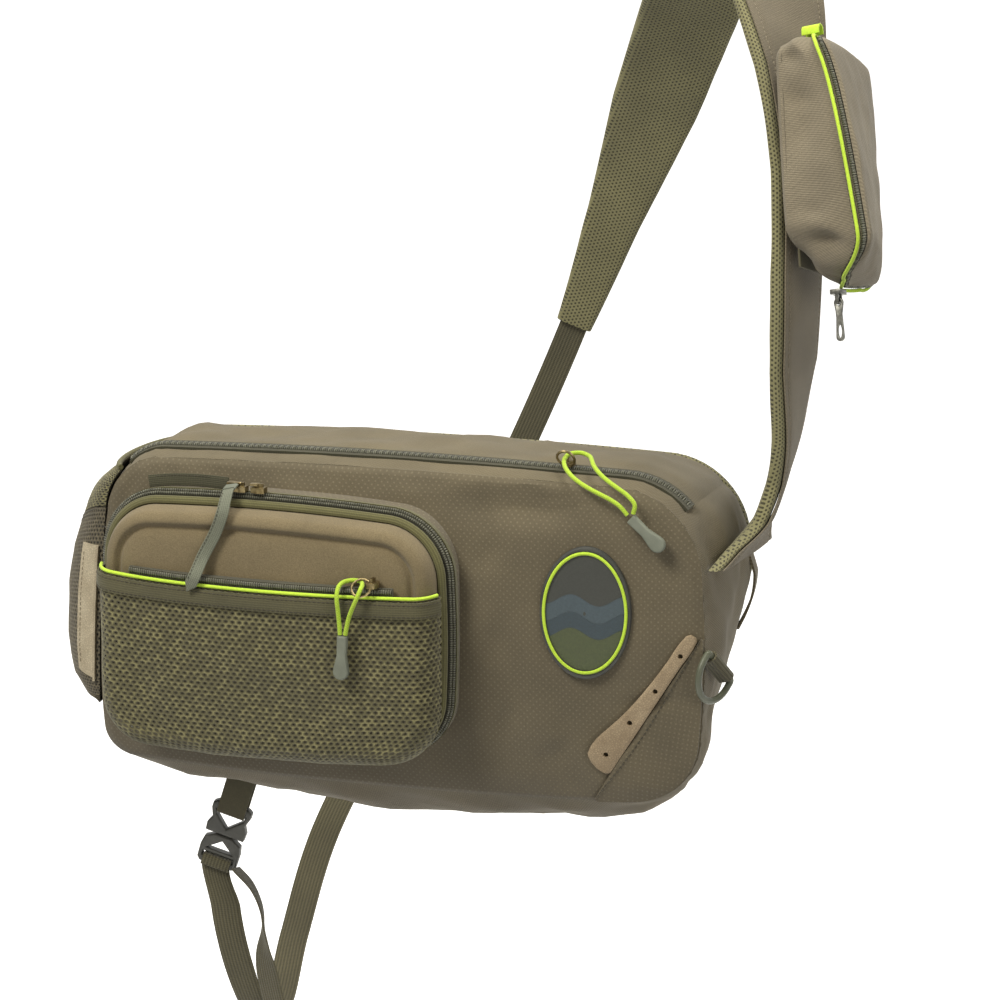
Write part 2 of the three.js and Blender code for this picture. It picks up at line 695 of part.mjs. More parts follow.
const asShape = (points) => new THREE.Shape(points.map((point) => new THREE.Vector2(point.x, point.z)));

function backPanel() {
  const bevel = 2.5;
  return plate(asShape(backOutline), BACK_PADDING, BACK_SEAM + GAP + BACK_PADDING, bevel);
}

// The triangular panel over the lower right corner, from its diagonal seam to the bag's edge
function cornerPanel() {
  const bottomEnd = { x: CORNER_PANEL.bottomX, z: CORNER_PANEL.bottomZ };
  const sideEnd = { x: CORNER_PANEL.sideX, z: CORNER_PANEL.sideZ };
  const corner = bagOutline.filter(
    (point) => point.x > bottomEnd.x + 4 && point.z < sideEnd.z - 4 && point.turn <= 1,
  );
  const edge = [bottomEnd, ...corner, sideEnd];
  const first = edge[0];
  const last = edge[edge.length - 1];
  const at = (u, v) => {
    const place = u * (edge.length - 1);
    const index = Math.min(Math.floor(place), edge.length - 2);
    const outer = {
      x: lerp(edge[index].x, edge[index + 1].x, place - index),
      z: lerp(edge[index].z, edge[index + 1].z, place - index),
    };
    const seam = { x: lerp(first.x, last.x, u), z: lerp(first.z, last.z, u) };
    const share = v * CORNER_PANEL.rim;
    const x = lerp(seam.x, outer.x, share);
    const z = lerp(seam.z, outer.z, share);
    return vec(x, frontY(x, z) - CORNER_PANEL.lift, z);
  };
  const inner = [];
  const outer = [];
  const rows = 5;
  const columns = edge.length - 1;
  const endTrim = 0.02;
  for (let r = 0; r <= rows; r++) {
    const line = Array.from({ length: columns + 1 }, (_, c) =>
      at(lerp(endTrim, 1 - endTrim, c / columns), r / rows),
    );
    inner.push(line);
    outer.push(line.map((point) => point.clone().setY(point.y - CORNER_PANEL.thick)));
  }
  return wall(outer, inner);
}

// Rings of the pocket's outline at a list of {inset, depth}
const pocketRing = (inset, depth) => outlineOf(POCKET, inset).map((point) => vec(point.x, -depth, point.z));

function pocketWall() {
  const foot = (inset) =>
    outlineOf(POCKET, inset).map(({ x, z }) => vec(x, frontY(x, z) - GAP, z));
  const rim = (inset) =>
    outlineOf(POCKET, inset).map((point) => {
      const sewn = point.turn === 0;
      return vec(point.x, sewn ? -POCKET_DEPTH.sewn : -POCKET_DEPTH.wall, point.z);
    });
  return wall([foot(0), rim(0)], [foot(POCKET_WALL), rim(POCKET_WALL)], true);
}

function pocketZip() {
  const first = EDGE_STEPS + 1;
  const count = 3 * PER_EDGE + CORNER_STEPS - 3;
  const stretch = ({ inset, depth }) => {
    const ring = pocketRing(inset, depth);
    return Array.from({ length: count }, (_, i) => ring[(first + i) % ring.length]);
  };
  return wall(POCKET_ZIP.outer.map(stretch), POCKET_ZIP.inner.map(stretch));
}

const pocketBinding = () => ringBody(POCKET_BINDING.map(({ inset, depth }) => pocketRing(inset, depth)));

function pocketLid() {
  const middle = { x: (POCKET.left + POCKET.right) / 2, z: (POCKET.bottom + POCKET.top) / 2 };
  const rows = (profile) => {
    const last = profile[profile.length - 1];
    const rings = profile.map((row) => pocketRing(row.inset, row.depth));
    rings.push(rings[0].map(() => vec(middle.x, -last.depth - 0.6, middle.z)));
    return rings;
  };
  const outer = rows(LID_PROFILE);
  const inner = rows(LID_INSIDE);
  const facets = new Facets();
  const count = outer[0].length;
  for (let c = 0; c < count; c++) {
    const d = (c + 1) % count;
    for (let r = 0; r < outer.length - 1; r++) {
      facets.quad(outer[r][c], outer[r + 1][c], outer[r + 1][d], outer[r][d]);
    }
    for (let r = 0; r < inner.length - 1; r++) {
      facets.quad(inner[r][c], inner[r][d], inner[r + 1][d], inner[r + 1][c]);
    }
    facets.quad(outer[0][c], outer[0][d], inner[0][d], inner[0][c]);
  }
  return facets.geometry();
}

// How far a place lies inside the mesh pocket's outline, with its own radius at each lower corner
function meshInside(x, z) {
  const { left, right, bottom, radii } = MESH_POCKET;
  const middle = (left + right) / 2;
  const radius = x > middle ? radii.bottomRight : radii.bottomLeft;
  const overX = Math.abs(x - middle) - (right - left) / 2 + radius;
  const overZ = bottom + radius - z;
  const outside = Math.hypot(Math.max(overX, 0), Math.max(overZ, 0));
  return radius - outside - Math.min(Math.max(overX, overZ), 0);
}

// The mesh pocket's left and right edge at a height
function meshEdges(z) {
  const { left, right, bottom, radii } = MESH_POCKET;
  const drawnIn = (radius) => {
    const over = Math.max(bottom + radius - z, 0);
    return radius - Math.sqrt(Math.max(radius ** 2 - over ** 2, 0));
  };
  return { left: left + drawnIn(radii.bottomLeft), right: right - drawnIn(radii.bottomRight) };
}

function meshTop(u) {
  const { topEnd, sag, leftRise, fall } = MESH_POCKET;
  return topEnd - sag * Math.sin(Math.PI * u) + leftRise * (1 - u) ** 10 - fall * u;
}

// The mesh pocket's inner face: u runs from left to right, v from the bottom to the top edge
function meshPoint(u, v) {
  const { bottom, bottomBow, topEnd, reach, foot, front, belly } = MESH_POCKET;
  const edges = meshEdges(lerp(bottom, topEnd, v));
  const x = lerp(edges.left, edges.right, u);
  const z = lerp(bottom, meshTop(u), v);
  const share = THREE.MathUtils.clamp(meshInside(x, z) / reach, 0, 1);
  const round = Math.sqrt(1 - (1 - share) ** 2);
  const start = lerp(foot.bottom, foot.side, smoothstep(Math.max(u, 1 - u), 0.72, 0.97));
  const swell = belly * Math.sin(Math.PI * u) ** 0.6 * smoothstep(v, 0, 0.7);
  const drop = bottomBow * (1 - (2 * u - 1) ** 2) * (1 - v) ** 2;
  return vec(x, -lerp(start, front, round) - swell, z - drop);
}

const crowded = (t) => 0.5 - 0.5 * Math.cos(Math.PI * t); // closer steps towards both ends
const FORWARD = vec(0, -1, 0);

const meshPocket = () => sheet((u, v) => meshPoint(u, crowded(v)), 14, 8, MESH, FORWARD, crowded);

function meshBand() {
  const share = MESH_BAND.height / (MESH_POCKET.topEnd - MESH_POCKET.bottom);
  const at = (u, v) => meshPoint(lerp(0.004, 0.996, u), lerp(1 - share, 0.995, v));
  return sheet(raised(at, MESH + 0.8, FORWARD), 14, 1, MESH_BAND.thick, FORWARD, crowded);
}

function meshPiping() {
  const steps = 16;
  const middle = raised(meshPoint, MESH / 2, FORWARD);
  const points = Array.from({ length: steps + 1 }, (_, i) => {
    const edge = middle(lerp(0.004, 0.996, crowded(i / steps)), 1);
    return edge.setZ(edge.z + PIPING_RADIUS + GAP);
  });
  return sweep(planeFrames(points, vec(0, 0, 1)), roundSection(PIPING_RADIUS, 6));
}

// The zip tape between the lid and the top edge of the mesh
function meshZip() {
  const steps = 16;
  const line = (forward, up) =>
    Array.from({ length: steps + 1 }, (_, i) => {
      const x = lerp(MESH_ZIP.left, MESH_ZIP.right, i / steps);
      const u = (x - MESH_POCKET.left) / (MESH_POCKET.right - MESH_POCKET.left);
      const front = meshPoint(u, 1).y + PIPING_RADIUS;
      return vec(x, forward ? Math.min(front, -MESH_ZIP.back - 2) : -MESH_ZIP.back, meshTop(u) + up);
    });
  const high = MESH_ZIP.low + MESH_ZIP.thick;
  return wall([line(false, high), line(true, high)], [line(false, MESH_ZIP.low), line(true, MESH_ZIP.low)]);
}

// The oval patch and the raised ring round it, laid over the front panel
function patchPoint(share, angle, rise) {
  const x = PATCH.x + PATCH.halfX * share * Math.cos(angle);
  const z = PATCH.z + PATCH.halfZ * share * Math.sin(angle);
  return vec(x, frontY(x, z) - rise, z);
}
const OVAL = Array.from({ length: 24 }, (_, i) => (2 * Math.PI * i) / 24);

function patch() {
  const shares = [1, 0.6, 0];
  const rows = (rise) => shares.map((share) => OVAL.map((angle) => patchPoint(share, angle, rise)));
  return wall(rows(GAP + PATCH.thick), rows(GAP), true);
}

function patchRing() {
  const rise = GAP + PATCH.thick + 0.3 + PATCH_RING.high / 2;
  const points = OVAL.map((angle) => patchPoint(PATCH_RING.share, angle, rise));
  const half = PATCH_RING.high / 2;
  const section = () => [
    [-half, -PATCH_RING.wide / 2],
    [half, -PATCH_RING.wide / 2],
    [half, PATCH_RING.wide / 2],
    [-half, PATCH_RING.wide / 2],
  ];
  return sweep(planeFrames(points, FORWARD, true), section, true);
}

function leatherStrip() {
  const { top, bottom } = STRIP;
  const length = Math.hypot(bottom.x - top.x, bottom.z - top.z);
  const along = { x: (bottom.x - top.x) / length, z: (bottom.z - top.z) / length };
  const spot = (share, inwards, rise) => {
    const x = lerp(top.x, bottom.x, share) + along.z * inwards;
    const z = lerp(top.z, bottom.z, share) - along.x * inwards;
    return vec(x, frontY(x, z) - rise, z);
  };
  const rows = (rise) =>
    STRIP.rows.map(({ at, from, to }) => [0, 0.33, 0.67, 1].map((side) => spot(at, lerp(from, to, side), rise)));
  const holes = STRIP.holes.map(({ at, inwards }) => {
    const { x, y, z } = spot(at, inwards, 0);
    return new THREE.CylinderGeometry(STRIP.holeRadius, STRIP.holeRadius, 12, 6).translate(x, y, z);
  });
  return cut(wall(rows(STRIP.lift + LEATHER), rows(STRIP.lift)), ...holes);
}

// The ring hangs straight down from its bar, and the webbing loop goes from the bar to the end panel
const RING_MIDDLE = vec(RING.x, RING.y, RING.z);
const perpendicular = (direction, axis) => direction.addScaledVector(axis, -direction.dot(axis)).normalize();
const RING_DOWN = perpendicular(vec(0, 0, -1), RING_BAR);
const RING_FACE = RING_BAR.clone().cross(RING_DOWN);

function dRing() {
  const half = RING.inside / 2 + RING.wire;
  const straight = [-1, -0.5, 0, 0.5].map((t) => ({ along: t * half, down: 0 }));
  const bend = Array.from({ length: 13 }, (_, i) => {
    const angle = (Math.PI * i) / 12;
    return { along: half * Math.cos(angle), down: 5 + (RING.drop - 5) * Math.sin(angle) };
  });
  const points = [...straight, { along: half, down: 0 }, ...bend].map((point) =>
    RING_MIDDLE.clone().addScaledVector(RING_BAR, point.along).addScaledVector(RING_DOWN, point.down),
  );
  return sweep(planeFrames(points, RING_FACE, true), roundSection(RING.wire, 8), true);
}

function dRingLoop() {
  const inwards = perpendicular(vec(-1, 0, 0), RING_BAR);
  const across = RING_BAR.clone().cross(inwards);
  const radius = RING.wire + RING_LOOP.clear;
  const profile = (r) => {
    const bend = Array.from({ length: 9 }, (_, i) => {
      const angle = (Math.PI * i) / 8;
      return { inwards: -r * Math.sin(angle), across: r * Math.cos(angle) };
    });
    return [{ inwards: RING_LOOP.leg, across: r }, ...bend, { inwards: RING_LOOP.leg, across: -r }];
  };
  const line = (r, along) =>
    profile(r).map((point) =>
      RING_MIDDLE.clone()
        .addScaledVector(RING_BAR, along)
        .addScaledVector(inwards, point.inwards)
        .addScaledVector(across, point.across),
    );
  const half = RING_LOOP.width / 2;
  const outer = radius + RING_LOOP.thick;
  return wall([line(outer, -half), line(outer, half)], [line(radius, -half), line(radius, half)]);
}

// X of the bag's left (side -1) or right (side 1) wall at a depth and height
function endX(side, y, z) {
  const { radii, bows } = BAG;
  const low = z < BAG_MIDDLE.z;
  const lowRadius = side < 0 ? radii.bottomLeft : radii.bottomRight;
  const highRadius = side < 0 ? radii.topLeft : radii.topRight;
  const radius = low ? lowRadius : highRadius;
  const over = Math.max(low ? BAG.bottom + radius - z : z - BAG.top + radius, 0);
  const drawnIn = radius - Math.sqrt(Math.max(radius ** 2 - over ** 2, 0));
  const start = BAG.bottom + lowRadius;
  const t = THREE.MathUtils.clamp((z - start) / (BAG.top - highRadius - start), 0, 1);
  const bow = (side < 0 ? bows.left : bows.right) * (1 - (2 * t - 1) ** 2);
  const share = THREE.MathUtils.clamp((y - FRONT_SEAM) / (BACK_SEAM - FRONT_SEAM), 0, 1);
  const fullSwell = side < 0 ? GUSSET_SWELL.left : GUSSET_SWELL.right;
  const swell = fullSwell * (1 - Math.abs(2 * share - 1) ** SWELL_POWER);
  const edge = (side < 0 ? BAG.left : BAG.right) + side * (bow - drawnIn);
  return edge + side * swell + leftLeanAt(edge, z) - share * backLeanAt(edge, z);
}

function sidePocketOut(z) {
  const index = Math.max(SIDE_ROWS.findIndex((row) => row.z > z) - 1, 0);
  const low = z >= SIDE_ROWS[SIDE_ROWS.length - 1].z ? SIDE_ROWS[SIDE_ROWS.length - 1] : SIDE_ROWS[index];
  const high = SIDE_ROWS[SIDE_ROWS.indexOf(low) + 1] ?? low;
  return low === high ? low.out : lerp(low.out, high.out, (z - low.z) / (high.z - low.z));
}

function sidePocketX(y, z) {
  const share = (y - SIDE_POCKET.front) / (SIDE_POCKET.back - SIDE_POCKET.front);
  const belly = Math.max(Math.sin(Math.PI * THREE.MathUtils.clamp(share, 0, 1)), 0) ** 0.55;
  return endX(-1, y, z) - SIDE_POCKET.clear - sidePocketOut(z) * belly;
}

// One of the two stretches of mesh; the seam between them falls from the front to the back
function sidePocketStretch(from, to) {
  const heights = [from, ...SIDE_ROWS.map((row) => row.z).filter((z) => z > from && z < to), to];
  const { front, back, seam, seamFront, seamBack } = SIDE_POCKET;
  const end = from < seam ? from : to;
  const steps = 10;
  const rows = (out) =>
    heights.map((height) =>
      Array.from({ length: steps + 1 }, (_, i) => {
        const share = crowded(i / steps);
        const y = lerp(front, back, share);
        const z = end + ((height - end) * (lerp(seamFront, seamBack, share) - end)) / (seam - end);
        return vec(sidePocketX(y, z) - out, y, z);
      }),
    );
  return wall(rows(MESH), rows(0));
}

function sidePocketRim() {
  const steps = 10;
  const top = SIDE_ROWS[SIDE_ROWS.length - 1].z;
  const radius = 1.8;
  const points = Array.from({ length: steps + 1 }, (_, i) => {
    const y = lerp(SIDE_POCKET.front, SIDE_POCKET.back, i / steps);
    const z = top + radius + GAP;
    return vec(Math.min(sidePocketX(y, top) - MESH / 2, endX(-1, y, z) - radius - GAP), y, z);
  });
  return sweep(planeFrames(points, vec(0, 0, 1)), roundSection(radius, 6));
}

function leatherTab() {
  const rows = 10;
  const columns = 4;
  const grid = (out) =>
    Array.from({ length: rows + 1 }, (_, r) => {
      const z = lerp(LEATHER_TAB.bottom, LEATHER_TAB.top, r / rows);
      const lowCorner = r === 0 ? 6 : 0; // the lower end is cut on the slant
      return Array.from({ length: columns + 1 }, (_, c) => {
        const y = lerp(LEATHER_TAB.front, LEATHER_TAB.back, c / columns);
        const slant = (lowCorner * (columns - c)) / columns;
        const place = Math.max(y, SIDE_POCKET.front);
        return vec(sidePocketX(place, z) - MESH - LEATHER_TAB.lift - out, y, z - slant);
      });
    });
  return wall(grid(LEATHER), grid(0));
}

function endTape() {
  const rows = 8;
  const grid = (out) =>
    Array.from({ length: rows + 1 }, (_, r) => {
      const t = r / rows;
      const z = lerp(END_TAPE.bottom, END_TAPE.top, t);
      const stand = END_TAPE.out * Math.sin(Math.PI * t) + 1 + out;
      return [END_TAPE.front, END_TAPE.back].map((y) => vec(endX(1, y, z) + stand, y, z));
    });
  return wall(grid(END_TAPE.thick), grid(0));
}

// Frames along the strap's route between two rows of its table
const strapCurve = new THREE.CatmullRomCurve3(
  STRAP_ROUTE.map((row) => vec(row.x, row.y, row.z)),
  false,
  "centripetal",
);

function outwardOf(row) {
  const yaw = degToRad(row.yaw);
  const lift = degToRad(row.lift);
  return vec(Math.cos(lift) * Math.cos(yaw), Math.cos(lift) * Math.sin(yaw), Math.sin(lift));
}

function strapFrames(fromRow, toRow, steps) {
  const last = STRAP_ROUTE.length - 1;
  return Array.from({ length: steps + 1 }, (_, i) => {
    const place = lerp(fromRow, toRow, i / steps);
    const index = Math.min(Math.floor(place), last - 1);
    const t = place - index;
    const [row, next] = [STRAP_ROUTE[index], STRAP_ROUTE[index + 1]];
    const level = lerp(row.level ?? 0, next.level ?? 0, t);
    const along = strapCurve.getTangent(place / last).lerp(vec(0, 0, 1), level).normalize();
    const out = perpendicular(outwardOf(row).lerp(outwardOf(next), t), along);
    const side = along.clone().cross(out).normalize();
    return { at: strapCurve.getPoint(place / last), out, side, width: lerp(row.width, next.width, t) };
  });
}

const padFrames = strapFrames(0, PAD_END_ROW, 34);

function strapPad() {
  const half = PAD.thick / 2;
  const section = ({ width }) => {
    const wide = width / 2;
    const flat = wide - PAD.round;
    return [
      [-flat, -half],
      [flat, -half],
      [wide, PAD.round - half],
      [wide, half - PAD.round],
      [flat, half],
      [-flat, half],
      [-wide, half - PAD.round],
      [-wide, PAD.round - half],
    ];
  };
  return sweep(padFrames, section);
}

function strapFace() {
  const low = PAD.thick / 2 + GAP;
  const section = ({ width }) => flatSection(PAD.round - width / 2, low, low + FACE.thick)();
  return sweep(padFrames.slice(0, -1), section);
}

function strapWebbing() {
  const half = WEBBING / 2;
  const afterPad = 0.006;
  const section = flatSection(WEBBING_WIDTH / 2, -half, half);
  return sweep(strapFrames(PAD_END_ROW + afterPad, STRAP_ROUTE.length - 1, 36), section);
}

function webbingTail() {
  const curve = new THREE.CatmullRomCurve3(TAIL_ROUTE.map((row) => vec(row.x, row.y, row.z)));
  const steps = 16;
  const frames = curve.getPoints(steps).map((at, i) => {
    const along = curve.getTangent(i / steps);
    const turn = smoothstep(i / steps, TAIL_SIDES.from, TAIL_SIDES.to);
    const side = perpendicular(TAIL_SIDES.top.clone().lerp(TAIL_SIDES.bottom, turn), along);
    return { at, side, out: side.clone().cross(along).normalize() };
  });
  return sweep(frames, flatSection(WEBBING_WIDTH / 2, -WEBBING / 2, WEBBING / 2));
}

// The two halves of the fastened buckle: an open X with a bar at its top and a ladder lock below
function buckleHalf(points, windows) {
  const shape = asShape(points);
  for (const window of windows) shape.holes.push(new THREE.Path(asShape(window).getPoints()));
  return plate(shape, BUCKLE.thick, BUCKLE.thick / 2, BUCKLE.bevel);
}
const mirrored = (points) => [...points, ...points.map(({ x, z }) => ({ x: -x, z })).reverse()];
const slot = (low, high, half) => [
  { x: half, z: low },
  { x: half, z: high },
  { x: -half, z: high },
  { x: -half, z: low },
];

function buckleSocket() {
  const edge = mirrored([
    { x: 6, z: 0.3 },
    { x: 13.4, z: 0.3 },
    { x: 13.8, z: 6 },
    { x: 11.4, z: 11 },
    { x: 13.6, z: 17 },
    { x: 13.6, z: 21 },
    { x: 11, z: 23 },
  ]);
  const window = [
    { x: 10, z: 17.2 },
    { x: -10, z: 17.2 },
    { x: -9.4, z: 14 },
    { x: 0, z: 5.2 },
    { x: 9.4, z: 14 },
  ];
  return buckleHalf(edge, [window]);
}

function bucklePlug() {
  const edge = mirrored([
    { x: 11.4, z: -22 },
    { x: 13.6, z: -19.5 },
    { x: 13.8, z: -10 },
    { x: 12.6, z: -4 },
    { x: 6, z: -0.3 },
  ]);
  const window = [
    { x: 9.4, z: -11.6 },
    { x: -9.4, z: -11.6 },
    { x: 0, z: -4.2 },
  ];
  return buckleHalf(edge, [window, slot(-17.4, -14.2, 10.6)]);
}

function buckleTab() {
  const { clear, thick, bar, barHalf, reach, width } = BUCKLE_TAB;
  const profile = (grow) => {
    const half = BUCKLE.thick / 2 + clear + grow;
    const low = bar - barHalf - clear - grow;
    return [
      { y: half, z: bar + reach },
      { y: half, z: low + 1 },
      { y: half - 1, z: low },
      { y: 1 - half, z: low },
      { y: -half, z: low + 1 },
      { y: -half, z: bar + reach },
    ];
  };
  const line = (x, grow) => profile(grow).map((point) => vec(x, point.y, point.z));
  const half = width / 2;
  return wall([line(-half, thick), line(half, thick)], [line(-half, 0), line(half, 0)]);
}

// The pouch in its own frame: X across the strap, Y towards it, Z up
const pouchShare = (z) => (z - POUCH.bottom) / (POUCH.top - POUCH.bottom);
function pouchDepth(x, z) {
  const { nearBottom, nearTop, curve, far, hookFrom, hookDepth } = POUCH_DEPTH;
  const low = THREE.MathUtils.clamp((hookFrom - z) / (hookFrom - POUCH.bottom + POUCH.bows.bottom), 0, 1);
  const across = THREE.MathUtils.clamp((x - POUCH.left) / (POUCH.right - POUCH.left), 0, 1);
  const below = THREE.MathUtils.clamp(1 - pouchShare(z), 0, 1) ** curve;
  const straight = lerp(lerp(nearTop, nearBottom, below), far, across);
  return lerp(Math.min(hookDepth, straight), straight, Math.sqrt(1 - low ** 2));
}
const pouchRing = (inset, depthAt) =>
  outlineOf(POUCH, inset).map((point) => vec(point.x, -depthAt(point.x, point.z), point.z));
const pouchEdge = outlineOf(POUCH);
// A ring that follows the zip's depth at the pouch's own edge, however far in it lies
const pouchRim = (inset, extra) =>
  outlineOf(POUCH, inset).map((point, i) => {
    const depth = pouchDepth(pouchEdge[i].x, pouchEdge[i].z) + extra;
    return vec(point.x, -depth, point.z);
  });
const pouchCentre = (depth) => pouchEdge.map(() => vec(0, -depth, 0));

function pouchBack() {
  const share = (part) => (x, z) => part * pouchDepth(x, z);
  const footRaised = (ring, part) =>
    ring.map((point) => {
      const { height, from, to } = POUCH_FOOT_RISE;
      return point.clone().setZ(point.z + part * height * smoothstep(-point.z, from, to));
    });
  const middle = 0.45;
  return wall(
    [
      pouchRim(0, 0),
      footRaised(pouchRing(-1.5, share(0.55)), middle),
      footRaised(pouchRing(0, () => 3), 1),
      footRaised(pouchRing(3, () => 0), 1),
      pouchCentre(0),
    ],
    [
      pouchRim(POUCH_WALL, 0),
      footRaised(pouchRing(POUCH_WALL - 1.5, share(0.55)), middle),
      footRaised(pouchRing(POUCH_WALL, () => 4.4), 1),
      footRaised(pouchRing(5, () => POUCH_WALL), 1),
      pouchCentre(POUCH_WALL),
    ],
    true,
  );
}

function pouchZip() {
  const back = GAP;
  const front = POUCH_ZIP - GAP / 2;
  return wall(
    [pouchRim(-0.4, back), pouchRim(-0.4, front)],
    [pouchRim(POUCH_WALL, back), pouchRim(POUCH_WALL, front)],
    true,
  );
}

function pouchFront() {
  const start = POUCH_ZIP + GAP;
  const lid = (thick) => (x, z) => pouchDepth(x, z) + start + thick;
  const middle = lid(POUCH_LID.thick + POUCH_LID.crown)(0, 0);
  const bulge = POUCH_LID.thick + POUCH_LID.crown * 0.7;
  return wall(
    [
      pouchRim(0, start),
      pouchRim(0.6, start + POUCH_LID.thick * 0.7),
      pouchRing(4, lid(POUCH_LID.thick)),
      pouchRing(20, lid(bulge)),
      pouchCentre(middle),
    ],
    [
      pouchRim(POUCH_WALL, start),
      pouchRim(POUCH_WALL + 0.6, start + POUCH_LID.thick * 0.35),
      pouchRing(6, lid(POUCH_LID.thick - POUCH_WALL)),
      pouchRing(20, lid(bulge - POUCH_WALL)),
      pouchCentre(middle - POUCH_WALL),
    ],
    true,
  );
}

function pouchPiping() {
  return sweep(planeFrames(pouchRim(-2.2, -1.6), FORWARD, true), roundSection(1.2, 6), true);
}

// A folded tape that stands up from the pouch's top edge
function pouchTab() {
  const width = 12;
  const bend = (r) =>
    Array.from({ length: 7 }, (_, i) => {
      const angle = (Math.PI * i) / 6;
      return { y: r * Math.cos(angle), z: 3 + r * Math.sin(angle) };
    });
  const line = (x, r) =>
    [{ y: r, z: 0 }, ...bend(r), { y: -r, z: 0 }].map((point) => vec(x, point.y, point.z));
  const outer = 3.4;
  const inner = 2.2;
  const geometry = wall([line(0, outer), line(width, outer)], [line(0, inner), line(width, inner)]);
  const foot = POUCH.top + POUCH.bows.top + 2.2 + 1.2 + GAP - 2.4;
  return geometry.rotateZ(Math.PI / 2).translate(-27, -pouchDepth(POUCH.left, POUCH.top) - 5, foot);
}

// The webbing that holds the pouch on the strap
function pouchKeeper() {
  const { wide, thick, tall, clear, z } = POUCH_KEEPER;
  return boxAt(wide, thick, tall, 0, clear + thick / 2, z);
}

// The zip slider below the pouch with the pin that its pull hangs on, and the pull
const SLIDER_FOOT = { x: -8, depth: 19, z: POUCH.bottom - POUCH.bows.bottom - 3.2 };
const boxAt = (width, depth, height, x, y, z) =>
  new THREE.BoxGeometry(width, depth, height).translate(x, y, z);

function pouchSlider() {
  const body = boxAt(7, 9, 3, 0, 0, -1.5);
  const post = (side) => boxAt(2.4, 1.2, POUCH_PULL.drop, 0, side * 2.2, -POUCH_PULL.drop / 2 - 0.6);
  const pin = new THREE.CylinderGeometry(POUCH_PULL.pin, POUCH_PULL.pin, 5.4, 10);
  return joined(body, post(-1), post(1), pin.translate(0, 0, -POUCH_PULL.drop));
}

function pouchPull() {
  const { length, wide, thick, eye } = POUCH_PULL;
  const half = wide / 2;
  const edge = new THREE.Shape();
  edge.absarc(0, 0, half + 0.4, 0, Math.PI);
  edge.lineTo(-half + 0.8, -7);
  edge.lineTo(-half, -length + half);
  edge.absarc(0, -length + half, half, Math.PI, 2 * Math.PI);
  edge.lineTo(half - 0.8, -7);
  const eyeHole = new THREE.Path().absarc(0, 0, eye, 0, 2 * Math.PI);
  const oval = new THREE.Path().absellipse(0, -length + half + 3.5, 1.3, 4.2, 0, 2 * Math.PI);
  edge.holes.push(eyeHole, oval);
  return plate(edge, thick, thick / 2);
}

// A zip slider with a tongue that points down, lying on a surface that faces the viewer
function sliderBody() {
  const body = new THREE.Shape();
  body.moveTo(-3.2, 4.6);
  body.lineTo(3.2, 4.6);
  body.lineTo(4, 0);
  body.lineTo(2.4, -4.6);
  body.lineTo(-2.4, -4.6);
  body.lineTo(-4, 0);
  return joined(plate(body, 3.6, 0), boxAt(2, 2.6, 6, 0, -4.6, 0));
}

const slider = (tongue) => joined(sliderBody(), boxAt(5, 1.2, tongue, 0, -5.2, -tongue / 2));

// A zip slider with a wire ring for a cord
function ringSlider(ring) {
  const wire = new THREE.TorusGeometry(ring.radius, ring.wire, 5, 14);
  wire.rotateX(degToRad(90 + ring.tilt)).translate(ring.x, ring.y, ring.z);
  return joined(sliderBody(), wire);
}

// A moulded grip at the end of a pull cord, hanging down from its neck
function pullEnd({ length, neck, waist, half, thick }) {
  const shape = new THREE.Shape();
  shape.moveTo(-neck, 0);
  shape.lineTo(-waist, -length * 0.45);
  shape.lineTo(-half, -length + half * 1.3);
  shape.absarc(0, -length + half, half, Math.PI, 2 * Math.PI);
  shape.lineTo(half, -length + half * 1.3);
  shape.lineTo(waist, -length * 0.45);
  shape.lineTo(neck, 0);
  return plate(shape, thick, thick / 2, 0.8, 4);
}

const asPoints = (rows) => rows.map((row) => vec(row.x, row.y, row.z));

// A flat ribbon through points, lying on its flat towards the viewer
function ribbon(points, { half, thick }) {
  const curve = new THREE.CatmullRomCurve3(points);
  const steps = 12;
  const frames = curve.getPoints(steps).map((at, i) => {
    const along = curve.getTangent(i / steps);
    const out = perpendicular(vec(0, -1, 0), along);
    return { at, out, side: along.clone().cross(out).normalize() };
  });
  return sweep(frames, flatSection(half, -thick / 2, thick / 2));
}

// The assembly
const bag = new THREE.Group();

function piece(name, geometry, look, parent = bag) {
  const mesh = new THREE.Mesh(geometry, new THREE.MeshStandardMaterial(COLOURS[look]));
  mesh.name = name;
  parent.add(mesh);
  return mesh;
}

function placed(position, turns = { x: 0, y: 0, z: 0 }, parent = bag) {
  const group = new THREE.Group();
  group.position.copy(position);
  group.rotation.set(degToRad(turns.x), degToRad(turns.y), degToRad(turns.z));
  parent.add(group);
  return group;
}

// Body
piece("front_panel", frontPanel(), "cloth");
piece("corner_panel", cornerPanel(), "cloth");
piece("gusset_bottom", gussetBand(0, 0, 1, 7), "twill");
piece("end_panel_right", gussetBand(1, 0, 1, 6), "twill");
piece("end_panel_left", gussetBand(3, 0, 1, 6), "twill");
const zipEdge = 0.006; // clearance beside the zip, as a share of the gusset's depth
piece("gusset_top_front", gussetBand(2, 0, MAIN_ZIP.from, 2), "twill");
piece("main_zip", gussetBand(2, MAIN_ZIP.from + zipEdge, MAIN_ZIP.to - zipEdge, 1, MAIN_ZIP.rise), "zip");
piece("gusset_top_back", gussetBand(2, MAIN_ZIP.to, 1, 4), "twill");
piece("back_panel", backPanel(), "mesh");
piece("end_tape", endTape(), "twill");

// Main zip pull: its cord loops through the slider's ring and hangs over the front edge
const mainSlider = placed(MAIN_SLIDER.at, { x: -90, y: 0, z: 0 });
piece("main_slider", ringSlider(MAIN_SLIDER.ring), "brass", mainSlider);
piece("main_pull_cord", cord(asPoints(MAIN_CORD), CORD_RADIUS, 17, 6), "neon");
const mainEnd = placed(MAIN_END.at, MAIN_END.turns);
piece("main_pull_end", pullEnd(PULL_END), "pull", mainEnd);

